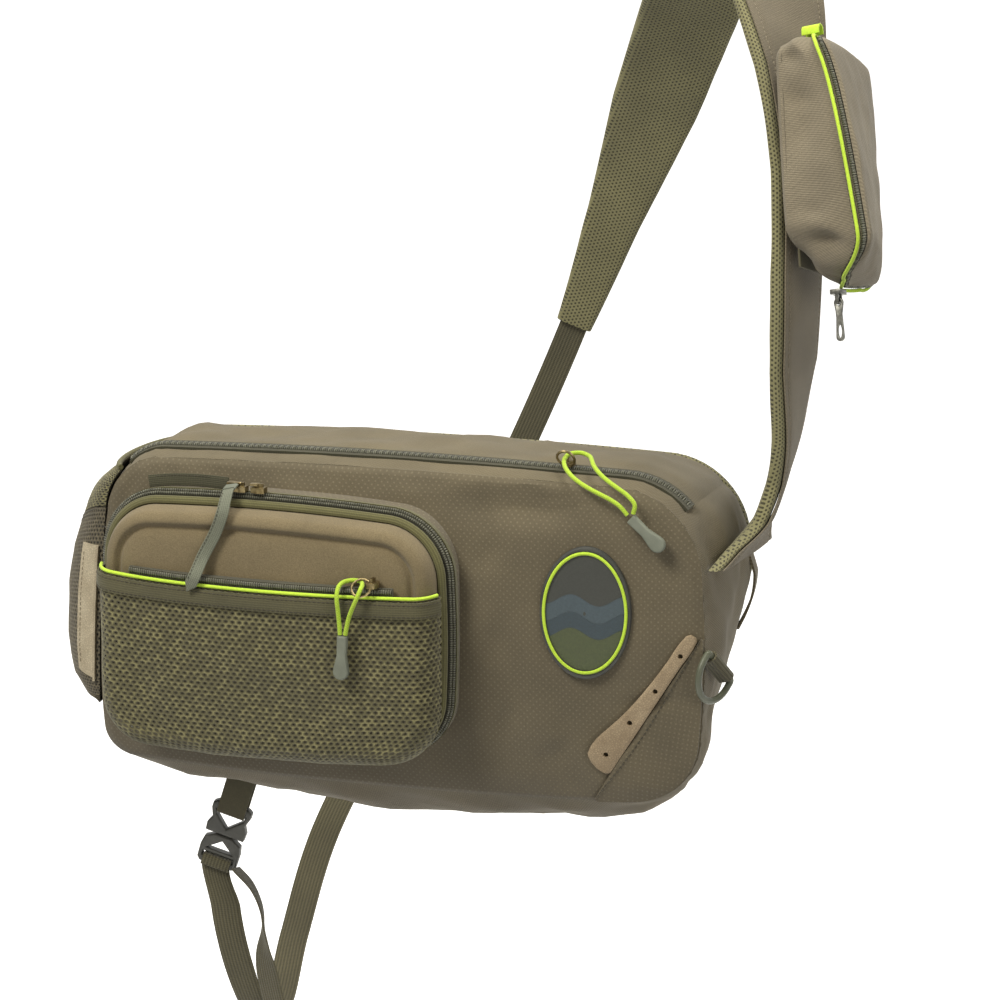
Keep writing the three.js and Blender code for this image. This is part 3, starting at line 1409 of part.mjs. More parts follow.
// Moulded pocket
piece("pocket_wall", pocketWall(), "cloth");
piece("pocket_zip", pocketZip(), "zip");
piece("pocket_binding", pocketBinding(), "binding");
piece("pocket_lid", pocketLid(), "moulded");
piece("mesh_pocket", meshPocket(), "mesh");
piece("mesh_band", meshBand(), "binding");
piece("mesh_piping", meshPiping(), "neon");
piece("mesh_zip", meshZip(), "zip");
POCKET_SLIDERS.forEach((row) => {
  const foot = placed(vec(row.x, row.y, row.z), { x: -90, y: 90, z: 0 });
  piece(row.name, slider(row.tongue), "brass", foot);
});
piece("pocket_pull_hanging", ribbon(asPoints(HANGING_RIBBON), RIBBON), "pull");
piece("pocket_pull_lying", ribbon(asPoints(LYING_RIBBON), RIBBON), "binding");
const meshSlider = placed(MESH_SLIDER.at, { x: -90, y: 0, z: 0 });
piece("mesh_slider", ringSlider(MESH_SLIDER.ring), "brass", meshSlider);
piece("mesh_pull_cord", cord(asPoints(MESH_CORD), CORD_RADIUS, 16, 6), "neon");
const meshEnd = placed(MESH_END.at, MESH_END.turns);
piece("mesh_pull_end", pullEnd(PULL_END), "pull", meshEnd);

// Trim
piece("patch", patch(), "rubber");
piece("patch_ring", patchRing(), "neon");
piece("leather_strip", leatherStrip(), "leather");
piece("leather_tab", leatherTab(), "leather");
piece("d_ring", dRing(), "ring");
piece("d_ring_loop", dRingLoop(), "webbing");
const { seam } = SIDE_POCKET;
piece("side_pocket_lower", sidePocketStretch(SIDE_ROWS[0].z, seam - SEAM), "mesh");
piece("side_pocket_upper", sidePocketStretch(seam + SEAM, SIDE_ROWS[SIDE_ROWS.length - 1].z), "mesh");
piece("side_pocket_rim", sidePocketRim(), "binding");

// Strap and buckle
piece("strap_pad", strapPad(), "mesh");
piece("strap_face", strapFace(), "twill");
piece("strap_webbing", strapWebbing(), "webbing");
piece("webbing_tail", webbingTail(), "webbing");
const buckle = placed(vec(BUCKLE.x, BUCKLE.y, BUCKLE.z), { x: 0, y: BUCKLE.roll, z: BUCKLE.yaw });
piece("buckle_socket", buckleSocket(), "plastic", buckle);
piece("buckle_plug", bucklePlug(), "plastic", buckle);
piece("buckle_tab", buckleTab(), "webbing", buckle);

// Pouch, with its back against the strap
const seat = strapFrames(POUCH_SEAT.row, POUCH_SEAT.row + 0.01, 1)[0];
const seatUp = seat.out.clone().cross(seat.side);
const strapSurface = PAD.thick / 2 + GAP + FACE.thick;
const standoff = strapSurface + POUCH_SEAT.clear + POUCH_KEEPER.thick + POUCH_KEEPER.clear;
const pouchAt = seat.at
  .clone()
  .addScaledVector(seat.out, standoff)
  .addScaledVector(seat.side, POUCH_SEAT.shift)
  .addScaledVector(seatUp, POUCH_SEAT.up);
const pouchFace = placed(pouchAt);
pouchFace.setRotationFromMatrix(new THREE.Matrix4().makeBasis(seat.side, seat.out.clone().negate(), seatUp));
piece("pouch_back", pouchBack(), "twill", pouchFace);
piece("pouch_zip", pouchZip(), "zip", pouchFace);
piece("pouch_front", pouchFront(), "twill", pouchFace);
piece("pouch_piping", pouchPiping(), "neon", pouchFace);
piece("pouch_tab", pouchTab(), "neon", pouchFace);
piece("pouch_keeper", pouchKeeper(), "webbing", pouchFace);
const footAt = vec(SLIDER_FOOT.x, -SLIDER_FOOT.depth, SLIDER_FOOT.z - GAP);
const sliderFoot = placed(footAt, { x: 0, y: 0, z: 90 }, pouchFace);
piece("pouch_slider", pouchSlider(), "steel", sliderFoot);
const pullPivot = placed(vec(0, 0, -POUCH_PULL.drop), undefined, sliderFoot);
piece("pouch_pull", pouchPull(), "steel", pullPivot);

// The strap's inner face on the shoulder is the origin
const apex = strapFrames(APEX_ROW, APEX_ROW, 1)[0];
const shoulder = apex.at.clone().addScaledVector(apex.out, -PAD.thick / 2);
const part = new THREE.Group();
bag.position.copy(shoulder).negate();
part.add(bag);

export default part;
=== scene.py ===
import math

import bmesh
import bpy
import numpy as np
from mathutils import Matrix, Vector


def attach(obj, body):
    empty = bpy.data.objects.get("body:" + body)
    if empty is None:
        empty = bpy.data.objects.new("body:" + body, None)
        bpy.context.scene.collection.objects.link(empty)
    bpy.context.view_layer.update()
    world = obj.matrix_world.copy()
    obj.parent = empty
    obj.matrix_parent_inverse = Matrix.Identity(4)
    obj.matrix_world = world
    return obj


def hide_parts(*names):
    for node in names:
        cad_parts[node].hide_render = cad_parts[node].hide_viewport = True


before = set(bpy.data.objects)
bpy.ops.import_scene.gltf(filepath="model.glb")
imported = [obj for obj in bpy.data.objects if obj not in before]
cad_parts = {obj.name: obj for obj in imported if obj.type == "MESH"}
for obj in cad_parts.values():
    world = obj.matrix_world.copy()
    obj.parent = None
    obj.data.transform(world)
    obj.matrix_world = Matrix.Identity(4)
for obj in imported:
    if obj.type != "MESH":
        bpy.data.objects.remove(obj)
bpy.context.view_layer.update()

# Sizes are in millimetres from the bag's middle, as in the CAD model; OFFSET moves them to the row frame
OFFSET = np.array((-149.611, -150.627, -419.055))
FORWARD, LEFTWARD, UPWARD = np.array(((0.0, -1.0, 0.0), (-1.0, 0.0, 0.0), (0.0, 0.0, 1.0)))
CIRCLE = 2 * np.pi


def to_row(points):
    return (np.asarray(points, dtype=float) + OFFSET) / 1000


def xyz(x, y, z):
    return np.stack(np.broadcast_arrays(x, y, z), -1)


def flat_uv(u, v):
    return np.stack(np.broadcast_arrays(u, v), -1)


def unit(vectors):
    return vectors / np.maximum(np.linalg.norm(vectors, axis=-1, keepdims=True), 1e-9)


def square_to(vectors, axis):
    """The part of vectors that is square to axis, made one long."""
    return unit(vectors - axis * np.sum(vectors * axis, -1, keepdims=True))


def lerp(a, b, t):
    return a + (b - a) * t


def smoothstep(value, low, high):
    t = np.clip((value - low) / (high - low), 0, 1)
    return t * t * (3 - 2 * t)


def bump(value, middle, half):
    return np.exp(-(((value - middle) / half) ** 2))


def arch(t, power=2):
    """0 at both ends of t and 1 in its middle."""
    return 1 - np.abs(2 * t - 1) ** power


def boxy(wave, power):
    """A sine or cosine with flattened tops, for boxy sections."""
    return np.sign(wave) * np.abs(wave) ** power


def again(table, axis=0):
    """A closed table with its first row or column again at the end."""
    return np.concatenate([table, table.take([0], axis)], axis)


def lengths(line):
    return np.r_[0, np.cumsum(np.linalg.norm(np.diff(line, axis=0), axis=1))]


def sampled(places, run, table):
    """The columns of a table, read at places along its run."""
    return np.stack([np.interp(places, run, column) for column in table.T], -1)


def full_turn(steps):
    return np.linspace(0, CIRCLE, steps, endpoint=False)


# Camera: the photo's angle, with the bag's middle at its pixel
VIEW = {"azimuth": 18, "elevation": 12, "distance": 2400, "aim": (0, -90, 0), "right": 58.9, "up": 86.8,
        "lens": 139.4, "sensor": 36, "far": 60}


def linked(name, data):
    made = bpy.data.objects.new(name, data)
    bpy.context.scene.collection.objects.link(made)
    return made


def aimed(name, data, place, way):
    made = linked(name, data)
    made.location = Vector(place)
    made.rotation_mode = "QUATERNION"
    made.rotation_quaternion = Vector(way).to_track_quat("-Z", "Y")
    return made


def make_camera():
    azimuth, elevation = math.radians(VIEW["azimuth"]), math.radians(VIEW["elevation"])
    back = np.array((
        math.sin(azimuth) * math.cos(elevation),
        -math.cos(azimuth) * math.cos(elevation),
        math.sin(elevation),
    ))
    right = np.array((math.cos(azimuth), math.sin(azimuth), 0))
    up = np.cross(back, right)
    place = np.array(VIEW["aim"]) + back * VIEW["distance"] + right * VIEW["right"] + up * VIEW["up"]
    data = bpy.data.cameras.new("camera")
    data.lens = VIEW["lens"]
    data.sensor_width = VIEW["sensor"]
    data.clip_end = VIEW["far"]
    bpy.context.scene.camera = aimed("camera", data, to_row(place), -back)


make_camera()

# Materials
SHEEN_ROUGH = 0.6
NOISE_RANGE = (0.3, 0.7)
CLOUD_SCALE, FLECK_SCALE, FUZZ_SCALE, THREAD_SCALE = 26.0, 900.0, 1500.0, 1600.0
WEAVE_RANGE = (-1.2, 1.2)


def linear(colour):
    def one(value):
        value = value / 255
        return value / 12.92 if value <= 0.04045 else ((value + 0.055) / 1.055) ** 2.4

    return (*(one(value) for value in colour), 1)


class Shader:
    """One procedural material; its helpers add nodes and return their sockets."""

    def __init__(self, name, rough, metallic=0.0, sheen=0.0):
        self.material = bpy.data.materials.new(name)
        self.material.use_nodes = True
        self.tree = self.material.node_tree
        self.shader = self.tree.nodes["Principled BSDF"]
        self.shader.inputs["Roughness"].default_value = rough
        self.shader.inputs["Metallic"].default_value = metallic
        self.shader.inputs["Sheen Weight"].default_value = sheen
        self.shader.inputs["Sheen Roughness"].default_value = SHEEN_ROUGH

    def node(self, kind, inputs=None, **settings):
        made = self.tree.nodes.new(kind)
        for key, value in settings.items():
            setattr(made, key, value)
        for key, value in (inputs or {}).items():
            if isinstance(value, bpy.types.NodeSocket):
                self.tree.links.new(value, made.inputs[key])
            else:
                made.inputs[key].default_value = value
        return made

    def math(self, operation, *values):
        return self.node("ShaderNodeMath", dict(enumerate(values)), operation=operation).outputs[0]

    def mix(self, share, first, second, blend="MIX"):
        inputs = {0: share, 6: first, 7: second}
        return self.node("ShaderNodeMix", inputs, data_type="RGBA", blend_type=blend).outputs[2]

    def shaded(self, colour, shade):
        grey = self.node("ShaderNodeCombineColor", {0: shade, 1: shade, 2: shade}).outputs[0]
        return self.mix(1.0, colour, grey, "MULTIPLY")

    def cloth_axes(self):
        uv = self.node("ShaderNodeUVMap", uv_map="UVMap").outputs[0]
        split = self.node("ShaderNodeSeparateXYZ", {0: uv})
        return split.outputs[0], split.outputs[1]

    def noise(self, scale, detail=3.0):
        where = self.node("ShaderNodeTexCoord").outputs["Object"]
        inputs = {"Vector": where, "Scale": scale, "Detail": detail}
        return self.node("ShaderNodeTexNoise", inputs).outputs[0]

    def cells(self, scale):
        where = self.node("ShaderNodeTexCoord").outputs["Object"]
        inputs = {"Vector": where, "Scale": scale}
        return self.node("ShaderNodeTexVoronoi", inputs, feature="DISTANCE_TO_EDGE").outputs["Distance"]

    def wave(self, value, pitch, phase=0.0):
        turned = self.math("MULTIPLY_ADD", value, CIRCLE / pitch, phase)
        return self.math("SINE", turned)

    def ranged(self, value, low, high, to_low=0.0, to_high=1.0):
        inputs = {"Value": value, 1: low, 2: high, 3: to_low, 4: to_high}
        return self.node("ShaderNodeMapRange", inputs).outputs[0]

    def finish(self, colour, height=None, strength=0.3, distance=0.0005):
        self.tree.links.new(colour, self.shader.inputs["Base Color"])
        if height is not None:
            inputs = {"Strength": strength, "Distance": distance, "Height": height}
            made = self.node("ShaderNodeBump", inputs)
            self.tree.links.new(made.outputs[0], self.shader.inputs["Normal"])
        return self.material


def fabric(name, dark, light, pattern, rough=0.9, sheen=0.15, strength=0.35, blotch=0.16):
    """Cloth: pattern gives the weave's height from the two cloth axes in millimetres."""
    made = Shader(name, rough, sheen=sheen)
    height = pattern(made, *made.cloth_axes())
    colour = made.mix(height, linear(dark), linear(light))
    cloud = made.ranged(made.noise(CLOUD_SCALE), *NOISE_RANGE, 1 - blotch, 1 + blotch / 2)
    fleck = made.ranged(made.noise(FLECK_SCALE, 2.0), *NOISE_RANGE, 0.92, 1.08)
    colour = made.shaded(colour, made.math("MULTIPLY", cloud, fleck))
    return made.finish(colour, height, strength)


def dotted(pitch):
    """Staggered light dots."""

    def pattern(made, u, v):
        dots = made.math("MULTIPLY", made.wave(u, pitch), made.wave(v, pitch))
        return made.ranged(dots, 0.45, 0.95)

    return pattern


def felted(made, u, v):
    """The fine fuzz of a moulded foam cover."""
    return made.ranged(made.noise(FUZZ_SCALE), *NOISE_RANGE)


def twill(pitch):
    """Slanting lines, with fainter ones across them."""

    def pattern(made, u, v):
        slant = made.math("ADD", u, made.math("MULTIPLY", v, 0.62))
        lines = made.wave(slant, pitch)
        cross = made.wave(made.math("SUBTRACT", v, made.math("MULTIPLY", u, 0.5)), pitch * 1.4)
        return made.ranged(made.math("MULTIPLY_ADD", cross, 0.35, lines), *WEAVE_RANGE)

    return pattern


def ribbed(pitch, along=0.0):
    """Ribs across v; along adds the picks of the weave along u."""

    def pattern(made, u, v):
        ribs = made.wave(v, pitch)
        if along:
            ribs = made.math("MULTIPLY_ADD", made.wave(u, along), 0.5, ribs)
        return made.ranged(ribs, *WEAVE_RANGE)

    return pattern


def holed(pitch):
    """Staggered small holes of a spacer mesh, from three waves at sixty degrees; the holes take the dark
    colour, which is painted shade in them.
    """

    def pattern(made, u, v):
        half = made.math("MULTIPLY", u, 0.5)
        tall = made.math("MULTIPLY", v, 0.866)
        ways = (u, made.math("ADD", half, tall), made.math("SUBTRACT", half, tall))
        first, second, third = (made.wave(way, pitch, math.pi / 2) for way in ways)
        total = made.math("ADD", first, made.math("ADD", second, third))
        return made.ranged(total, 1.5, 0.2)

    return pattern


def solid(name, dark, light, rough, metallic=0.0, cloud=60.0):
    """Moulded or cast pieces: mottled colour, and a fine grain in the surface."""
    made = Shader(name, rough, metallic)
    colour = made.mix(made.ranged(made.noise(cloud, 5.0), 0.32, 0.68), linear(dark), linear(light))
    fine = made.noise(420.0, 4.0)
    uneven = made.ranged(fine, 0.25, 0.75, rough - 0.08, rough + 0.12)
    made.tree.links.new(uneven, made.shader.inputs["Roughness"])
    return made.finish(colour, fine, 0.12)


def leather(name, dark, light):
    """Mottled hide with darker lines between the cells of its grain."""
    made = Shader(name, 0.72)
    grain = made.ranged(made.cells(700.0), 0.0, 0.25)
    cloud = made.ranged(made.noise(70.0, 6.0), *NOISE_RANGE)
    colour = made.mix(cloud, linear(dark), linear(light))
    line = linear(tuple(value * 0.7 for value in dark))
    colour = made.mix(made.ranged(grain, 0.0, 1.0, 0.45, 0.0), colour, line)
    return made.finish(colour, grain, 0.35, 0.0004)


def netting(name, hole, dark, light):
    """Real strands, with painted light in their colour: a painted highlight on the strands' tops, painted
    shade on the sides of the holes.
    """
    made = Shader(name, 0.85, sheen=0.2)
    painted_light = made.node("ShaderNodeAttribute", attribute_name="painted_light").outputs["Fac"]
    thread = made.noise(THREAD_SCALE, 2.0)
    strand = made.mix(made.ranged(thread, 0.35, 0.65, 0.6, 1.0), linear(dark), linear(light))
    strand = made.shaded(strand, made.ranged(made.noise(30.0), *NOISE_RANGE, 0.85, 1.1))
    # painted shade: the hole colour on the sides of the holes
    colour = made.mix(made.ranged(painted_light, 0.1, 0.5), linear(hole), linear(dark))
    # painted highlight: the strand colour on the strands' tops
    colour = made.mix(made.ranged(painted_light, 0.5, 0.95), colour, strand)
    return made.finish(colour, thread)


# The patch's bands: each starts at a height and lies on the one before
PATCH_FIELD, PATCH_MOTTLE = (74, 82, 52), (40, 42, 40)
PATCH_BANDS = [(-13.0, (52, 66, 74)), (-3.0, (70, 84, 92)), (8.0, (58, 60, 56))]
PATCH_WAVE = {"pitch": 34.0, "swing": 3.4, "edge": 0.8, "step": 1.5}


def rubber_patch(name):
    """The patch's field: plain wavy bands."""
    made = Shader(name, 0.6)
    u, v = made.cloth_axes()
    swing = made.math("MULTIPLY", made.wave(u, PATCH_WAVE["pitch"]), PATCH_WAVE["swing"])
    tall = made.math("ADD", v, swing)
    fine = made.noise(700.0)
    colour, height = linear(PATCH_FIELD), fine
    for start, band in PATCH_BANDS:
        step = made.ranged(tall, start, start + PATCH_WAVE["edge"])
        colour = made.mix(step, colour, linear(band))
        height = made.math("MULTIPLY_ADD", step, PATCH_WAVE["step"], height)
    mottle = made.mix(made.ranged(fine, *NOISE_RANGE, 0.0, 0.25), colour, linear(PATCH_MOTTLE))
    return made.finish(mottle, height, 0.5, 0.0006)


LOOKS = {
    "cloth": fabric("cloth", (98, 89, 69), (117, 108, 86), dotted(4.2), strength=0.3),
    "twill": fabric("twill", (96, 86, 63), (116, 106, 81), twill(1.5)),
    # Pouch cloth: a paler copy of the twill, its tone partly its own and partly painted light for the
    # brighter light higher up on the pouch
    "pouch": fabric("pouch_cloth", (118, 109, 91), (142, 132, 112), twill(1.5)),
    "strap": fabric("strap_cloth", (106, 97, 79), (126, 116, 96), twill(1.4)),
    "moulded": fabric("moulded", (112, 99, 72), (132, 118, 88), felted, strength=0.25, blotch=0.12),
    # Spacer mesh: its hole pattern is its own, the holes' dark colour painted shade
    "spacer": fabric("spacer_mesh", (66, 63, 40), (138, 134, 96), holed(2.4), strength=0.8),
    "binding": fabric("binding", (80, 77, 45), (108, 105, 64), ribbed(1.3, 1.1), strength=0.3),
    "band": fabric("band", (74, 71, 47), (97, 93, 63), ribbed(1.5, 1.0), strength=0.3),
    "neon": fabric("neon", (184, 220, 50), (216, 252, 74), ribbed(0.9, 0.9), blotch=0.08),
    "cord": fabric("cord", (178, 212, 52), (220, 252, 84), dotted(1.6), strength=0.6, blotch=0.06),
    "webbing": fabric("webbing", (66, 62, 44), (100, 95, 70), ribbed(2.2, 1.3), strength=0.6),
    "tape": fabric("zip_tape", (52, 51, 36), (74, 72, 50), ribbed(1.2, 1.2)),
    # Zip coil: the dark colour is the coil's own; the light one, on each tooth, is a painted highlight
    "coil": fabric("zip_coil", (28, 28, 22), (118, 118, 102), ribbed(1.7), 0.5, 0.0, blotch=0.05),
    "ribbon": fabric("ribbon", (98, 102, 88), (122, 126, 110), ribbed(1.2, 1.2)),
    "ribbon_olive": fabric("ribbon_olive", (58, 57, 40), (84, 82, 60), ribbed(1.2, 1.2)),
    "leather": leather("leather", (156, 136, 108), (186, 166, 136)),
    "leather_pale": leather("leather_pale", (182, 168, 142), (208, 196, 170)),
    "plastic": solid("plastic", (54, 54, 50), (68, 68, 63), 0.45),
    "ring": solid("ring", (80, 84, 69), (98, 102, 85), 0.4),
    "brass": solid("brass", (104, 91, 62), (158, 143, 106), 0.38, 1.0, 240.0),
    "steel": solid("steel", (96, 96, 92), (140, 140, 134), 0.35, 1.0, 200.0),
    "rubber": rubber_patch("rubber"),
    "rim": solid("patch_rim", (48, 49, 46), (66, 67, 62), 0.6),
    "grip": solid("grip", (104, 109, 97), (126, 131, 118), 0.6),
    # Nets take hole, dark and light colours: the hole colour is painted shade in the holes, the light one
    # a painted highlight on the strands
    "net": netting("net", (52, 48, 28), (96, 91, 56), (150, 144, 98)),
    "net_fine": netting("net_fine", (40, 35, 25), (88, 80, 60), (122, 112, 88)),
    "thread": fabric("thread", (120, 110, 92), (160, 150, 130), ribbed(0.7), blotch=0.05),
    "thread_dark": fabric("thread_dark", (54, 50, 37), (74, 69, 52), ribbed(0.7), blotch=0.05),
}

# Mesh building: corners of a grid's faces, and a stitch's rows of shift, width and rise; WELD is in metres
LOW, HIGH = slice(None, -1), slice(1, None)
QUAD = ((LOW, LOW), (LOW, HIGH), (HIGH, HIGH), (HIGH, LOW))
STITCH_ROWS = [(-0.5, 0.45, -0.2), (-0.3, 1.0, 0.1), (0.3, 1.0, 0.1), (0.5, 0.45, -0.2)]
STITCH_SIDES, STITCH_BEHIND = 6, 0.5
WELD = 2e-6
SHARP, SHARP_NET = 38.0, 80.0


class Pile:
    """Collects faces into one mesh, with UVs in millimetres and a look for each face."""

    def __init__(self, *looks):
        self.looks = looks
        self.points = []
        self.faces = []
        self.uvs = []
        self.slots = []
        self.painted_light_levels = []
        self.count = 0

    # each point also carries a level of painted light, which the net's colour reads
    def add_points(self, points, painted_light=1.0):
        flat = np.asarray(points, dtype=float).reshape(-1, 3)
        index = self.count + np.arange(len(flat))
        self.points.append(flat)
        self.painted_light_levels.append(np.broadcast_to(np.asarray(painted_light, dtype=float).ravel(), (len(flat),)))
        self.count += len(flat)
        return index

    def add_faces(self, faces, uvs, look=0):
        self.faces += np.asarray(faces).tolist()
        self.uvs.append(np.asarray(uvs, dtype=float).reshape(-1, 2))
        self.slots += [look] * len(faces)

    def grid(self, points, uv=None, closed=False, look=0):
        index = self.add_points(points).reshape(points.shape[:2])
        if closed:
            index = again(index, 1)
        uv = grid_uv(points, closed) if uv is None else uv
        faces = np.stack([index[corner] for corner in QUAD], -1).reshape(-1, 4)
        self.add_faces(faces, np.stack([uv[corner] for corner in QUAD], 2), look)

    def cap(self, ring, look=0):
        self.add_faces([self.add_points(ring)], np.asarray(ring)[:, [0, 2]], look)

    def wall(self, outer, inner, uv=None, closed=False, look=0):
        """One closed wall between two grids."""
        uv = grid_uv(outer, closed) if uv is None else uv
        self.grid(outer, uv, closed, look)
        self.grid(inner, uv, closed, look)
        for row in (0, -1):
            self.grid(np.stack([outer[row], inner[row]]), uv[[row, row]], closed, look)
        if not closed:
            for column in (0, -1):
                ends = np.stack([outer[:, column], inner[:, column]])
                self.grid(ends, np.stack([uv[:, column], uv[:, column]]), False, look)

    def tube(self, path, radius, out, closed=False, sides=12, look=0):
        """A round or oval tube; out is its section's second axis and radius one or two half sizes."""
        half = np.broadcast_to(radius, (len(path), 2))
        angle = full_turn(sides)
        along = unit(tangents(path, closed))
        out = square_to(out, along)
        side = np.cross(along, out)
        rings = (path[:, None] + side[:, None] * (half[:, :1] * np.cos(angle))[..., None]
                 + out[:, None] * (half[:, 1:] * np.sin(angle))[..., None])
        run = lengths(again(path) if closed else path)
        if closed:
            rings = again(rings)
        around = np.linspace(0, CIRCLE, sides + 1) * half.mean()
        self.grid(rings, flat_uv(run[:, None], around), True, look)
        if not closed:
            self.cap(rings[0], look)
            self.cap(rings[-1], look)

    def stitches(self, path, out, look=1, pitch=3.4, length=2.4, radius=0.32, lift=0.15):
        """A row of short threads along a path, each a small tapered tube."""
        run = lengths(path)
        places = np.arange(pitch, run[-1] - pitch / 2, pitch)
        at = sampled(places, run, path)
        up = unit(sampled(places, run, np.broadcast_to(out, path.shape)))
        along = unit(at - sampled(places - STITCH_BEHIND, run, path))
        side = np.cross(along, up)
        angle = full_turn(STITCH_SIDES)[:, None]
        rows = []
        for shift, wide, rise in STITCH_ROWS:
            middle = at + along * (shift * length) + up * (lift + rise * radius)
            around = side[:, None] * np.cos(angle) + up[:, None] * np.sin(angle)
            rows.append(middle[:, None] + radius * wide * around)
        index = self.add_points(np.stack(rows, 1)).reshape(len(places), len(rows), STITCH_SIDES)
        wrapped = again(index, 2)
        faces = np.stack([wrapped[:, down, across] for down, across in QUAD], -1).reshape(-1, 4)
        ends = np.concatenate([index[:, 0], index[:, -1]])
        self.add_faces(faces, np.tile(((0, 0), (0, 1), (1, 1), (1, 0)), (len(faces), 1)), look)
        self.add_faces(ends, np.zeros((ends.size, 2)), look)

    def make(self, node, body="bag", sharp=SHARP):
        """The finished piece, which stands in for a node of the CAD model."""
        mesh = bpy.data.meshes.new(node + "_look")
        mesh.from_pydata(to_row(np.concatenate(self.points)), [], self.faces)
        layer = mesh.uv_layers.new(name="UVMap")
        layer.data.foreach_set("uv", np.concatenate(self.uvs).astype(np.float32).ravel())
        # each point's level of painted light, for the net's painted highlight and painted shade
        painted_light = mesh.attributes.new("painted_light", "FLOAT", "POINT")
        painted_light.data.foreach_set("value", np.concatenate(self.painted_light_levels).astype(np.float32))
        for look in self.looks:
            mesh.materials.append(LOOKS[look])
        mesh.polygons.foreach_set("material_index", self.slots)
        shape = bmesh.new()
        shape.from_mesh(mesh)
        bmesh.ops.remove_doubles(shape, verts=shape.verts, dist=WELD)
        bmesh.ops.recalc_face_normals(shape, faces=shape.faces)
        shape.to_mesh(mesh)
        shape.free()
        return placed(node, mesh, body, sharp)


def placed(node, mesh, body, sharp=SHARP):
    mesh.shade_smooth()
    mesh.set_sharp_from_angle(angle=math.radians(sharp))
    made = linked(node + "_look", mesh)
    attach(made, body)
    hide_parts(node)
    return made


def sheet(node, look, outer, inner, uv=None, closed=False):
    """A piece that is one wall in one look."""
    pile = Pile(look)
    pile.wall(outer, inner, uv, closed)
    return pile.make(node)


def rope(node, look, path, radius, out, closed=False, sides=12, body="bag"):
    """A piece that is one tube in one look."""
    pile = Pile(look)
    pile.tube(path, radius, out, closed, sides)
    return pile.make(node, body)


def grid_uv(points, closed=False):
    rows, columns = points.shape[:2]
    across = points[rows // 2]
    u = lengths(again(across) if closed else across)
    v = lengths(points[:, columns // 3])
    return flat_uv(u, v[:, None])


def tangents(path, closed=False):
    if closed:
        return np.roll(path, -1, 0) - np.roll(path, 1, 0)
    return np.gradient(path, axis=0)


def facing(vectors, hint):
    """Unit vectors, turned round where they point away from the hint."""
    found = unit(vectors)
    return np.where(np.sum(found * hint, -1, keepdims=True) < 0, -found, found)


def normals(points, hint, closed=False):
    if closed:
        across = np.roll(points, -1, 1) - np.roll(points, 1, 1)
    else:
        across = np.gradient(points, axis=1)
    return facing(np.cross(across, np.gradient(points, axis=0)), hint)


def waves(points, seed, wavelength, count=22):
    """Soft seeded unevenness, about -1 to 1, with that wavelength in millimetres."""
    random = np.random.RandomState(seed)
    ways = unit(random.normal(size=(count, 3)))
    long = wavelength * random.uniform(0.65, 1.6, count)
    phases = random.uniform(0, CIRCLE, count)
    flat = points.reshape(-1, 3)
    total = np.zeros(len(flat))
    for way, size, phase in zip(ways, long, phases):
        total += np.sin(flat @ (way * CIRCLE / size) + phase)
    return (total / math.sqrt(count)).reshape(points.shape[:-1])


def uneven(points, *rows):
    """Waves on each other; each row is height, seed and wavelength."""
    return sum(height * waves(points, seed, wavelength) for height, seed, wavelength in rows)


def crease(first, second, table):
    """Creases in two coordinates of a surface; each row is from, to, half width and depth."""
    total = np.zeros(np.shape(first))
    for x0, z0, x1, z1, half, depth in table:
        way = np.array((x1 - x0, z1 - z0))
        long = np.hypot(*way)
        way = way / long
        along = np.clip((first - x0) * way[0] + (second - z0) * way[1], 0, long)
        away = np.hypot(first - x0 - along * way[0], second - z0 - along * way[1])
        fade = np.sin(np.pi * np.clip(along / long, 0.06, 0.94))
        total += depth * fade * bump(away, 0, half)
    return total


def catmull(points, places):
    """Points at places along a centripetal Catmull-Rom curve; place counts the rows."""
    points = np.asarray(points, dtype=float)
    padded = np.concatenate([[2 * points[0] - points[1]], points, [2 * points[-1] - points[-2]]])
    places = np.asarray(places, dtype=float)
    index = np.clip(np.floor(places).astype(int), 0, len(points) - 2)
    weight = (places - index)[:, None]
    p0, p1, p2, p3 = (padded[index + k] for k in range(4))
    d0, d1, d2 = (np.maximum(np.sum((b - a) ** 2, -1, keepdims=True) ** 0.25, 1e-4)
                  for a, b in ((p0, p1), (p1, p2), (p2, p3)))
    start = ((p1 - p0) / d0 - (p2 - p0) / (d0 + d1) + (p2 - p1) / d1) * d1
    end = ((p2 - p1) / d1 - (p3 - p1) / (d1 + d2) + (p3 - p2) / d2) * d1
    square = -3 * p1 + 3 * p2 - 2 * start - end
    cube = 2 * p1 - 2 * p2 + start + end
    return p1 + weight * (start + weight * (square + weight * cube))


def eased(value, places, heights):
    """A smooth curve through points that are not evenly spaced."""
    slope = np.gradient(heights, places)
    row = np.clip(np.searchsorted(places, value) - 1, 0, len(places) - 2)
    span = places[row + 1] - places[row]
    t = (value - places[row]) / span
    first = (1 + 2 * t) * (1 - t) ** 2 * heights[row] + t ** 2 * (3 - 2 * t) * heights[row + 1]
    return first + span * t * (1 - t) * ((1 - t) * slope[row] - t * slope[row + 1])


def along_rows(table, steps):
    return catmull(table, np.linspace(0, len(table) - 1, steps))


def carried(path):
    """Normals along a path that turn as little as they can."""
    along = unit(tangents(path))
    out = [unit(np.cross(along[0], (0.3, 0.5, 0.8)))]
    for way in along[1:]:
        out.append(square_to(out[-1], way))
    return np.array(out)


TOOTH = {"wider": 0.1, "higher": 0.3, "steps": 4, "sides": 7}


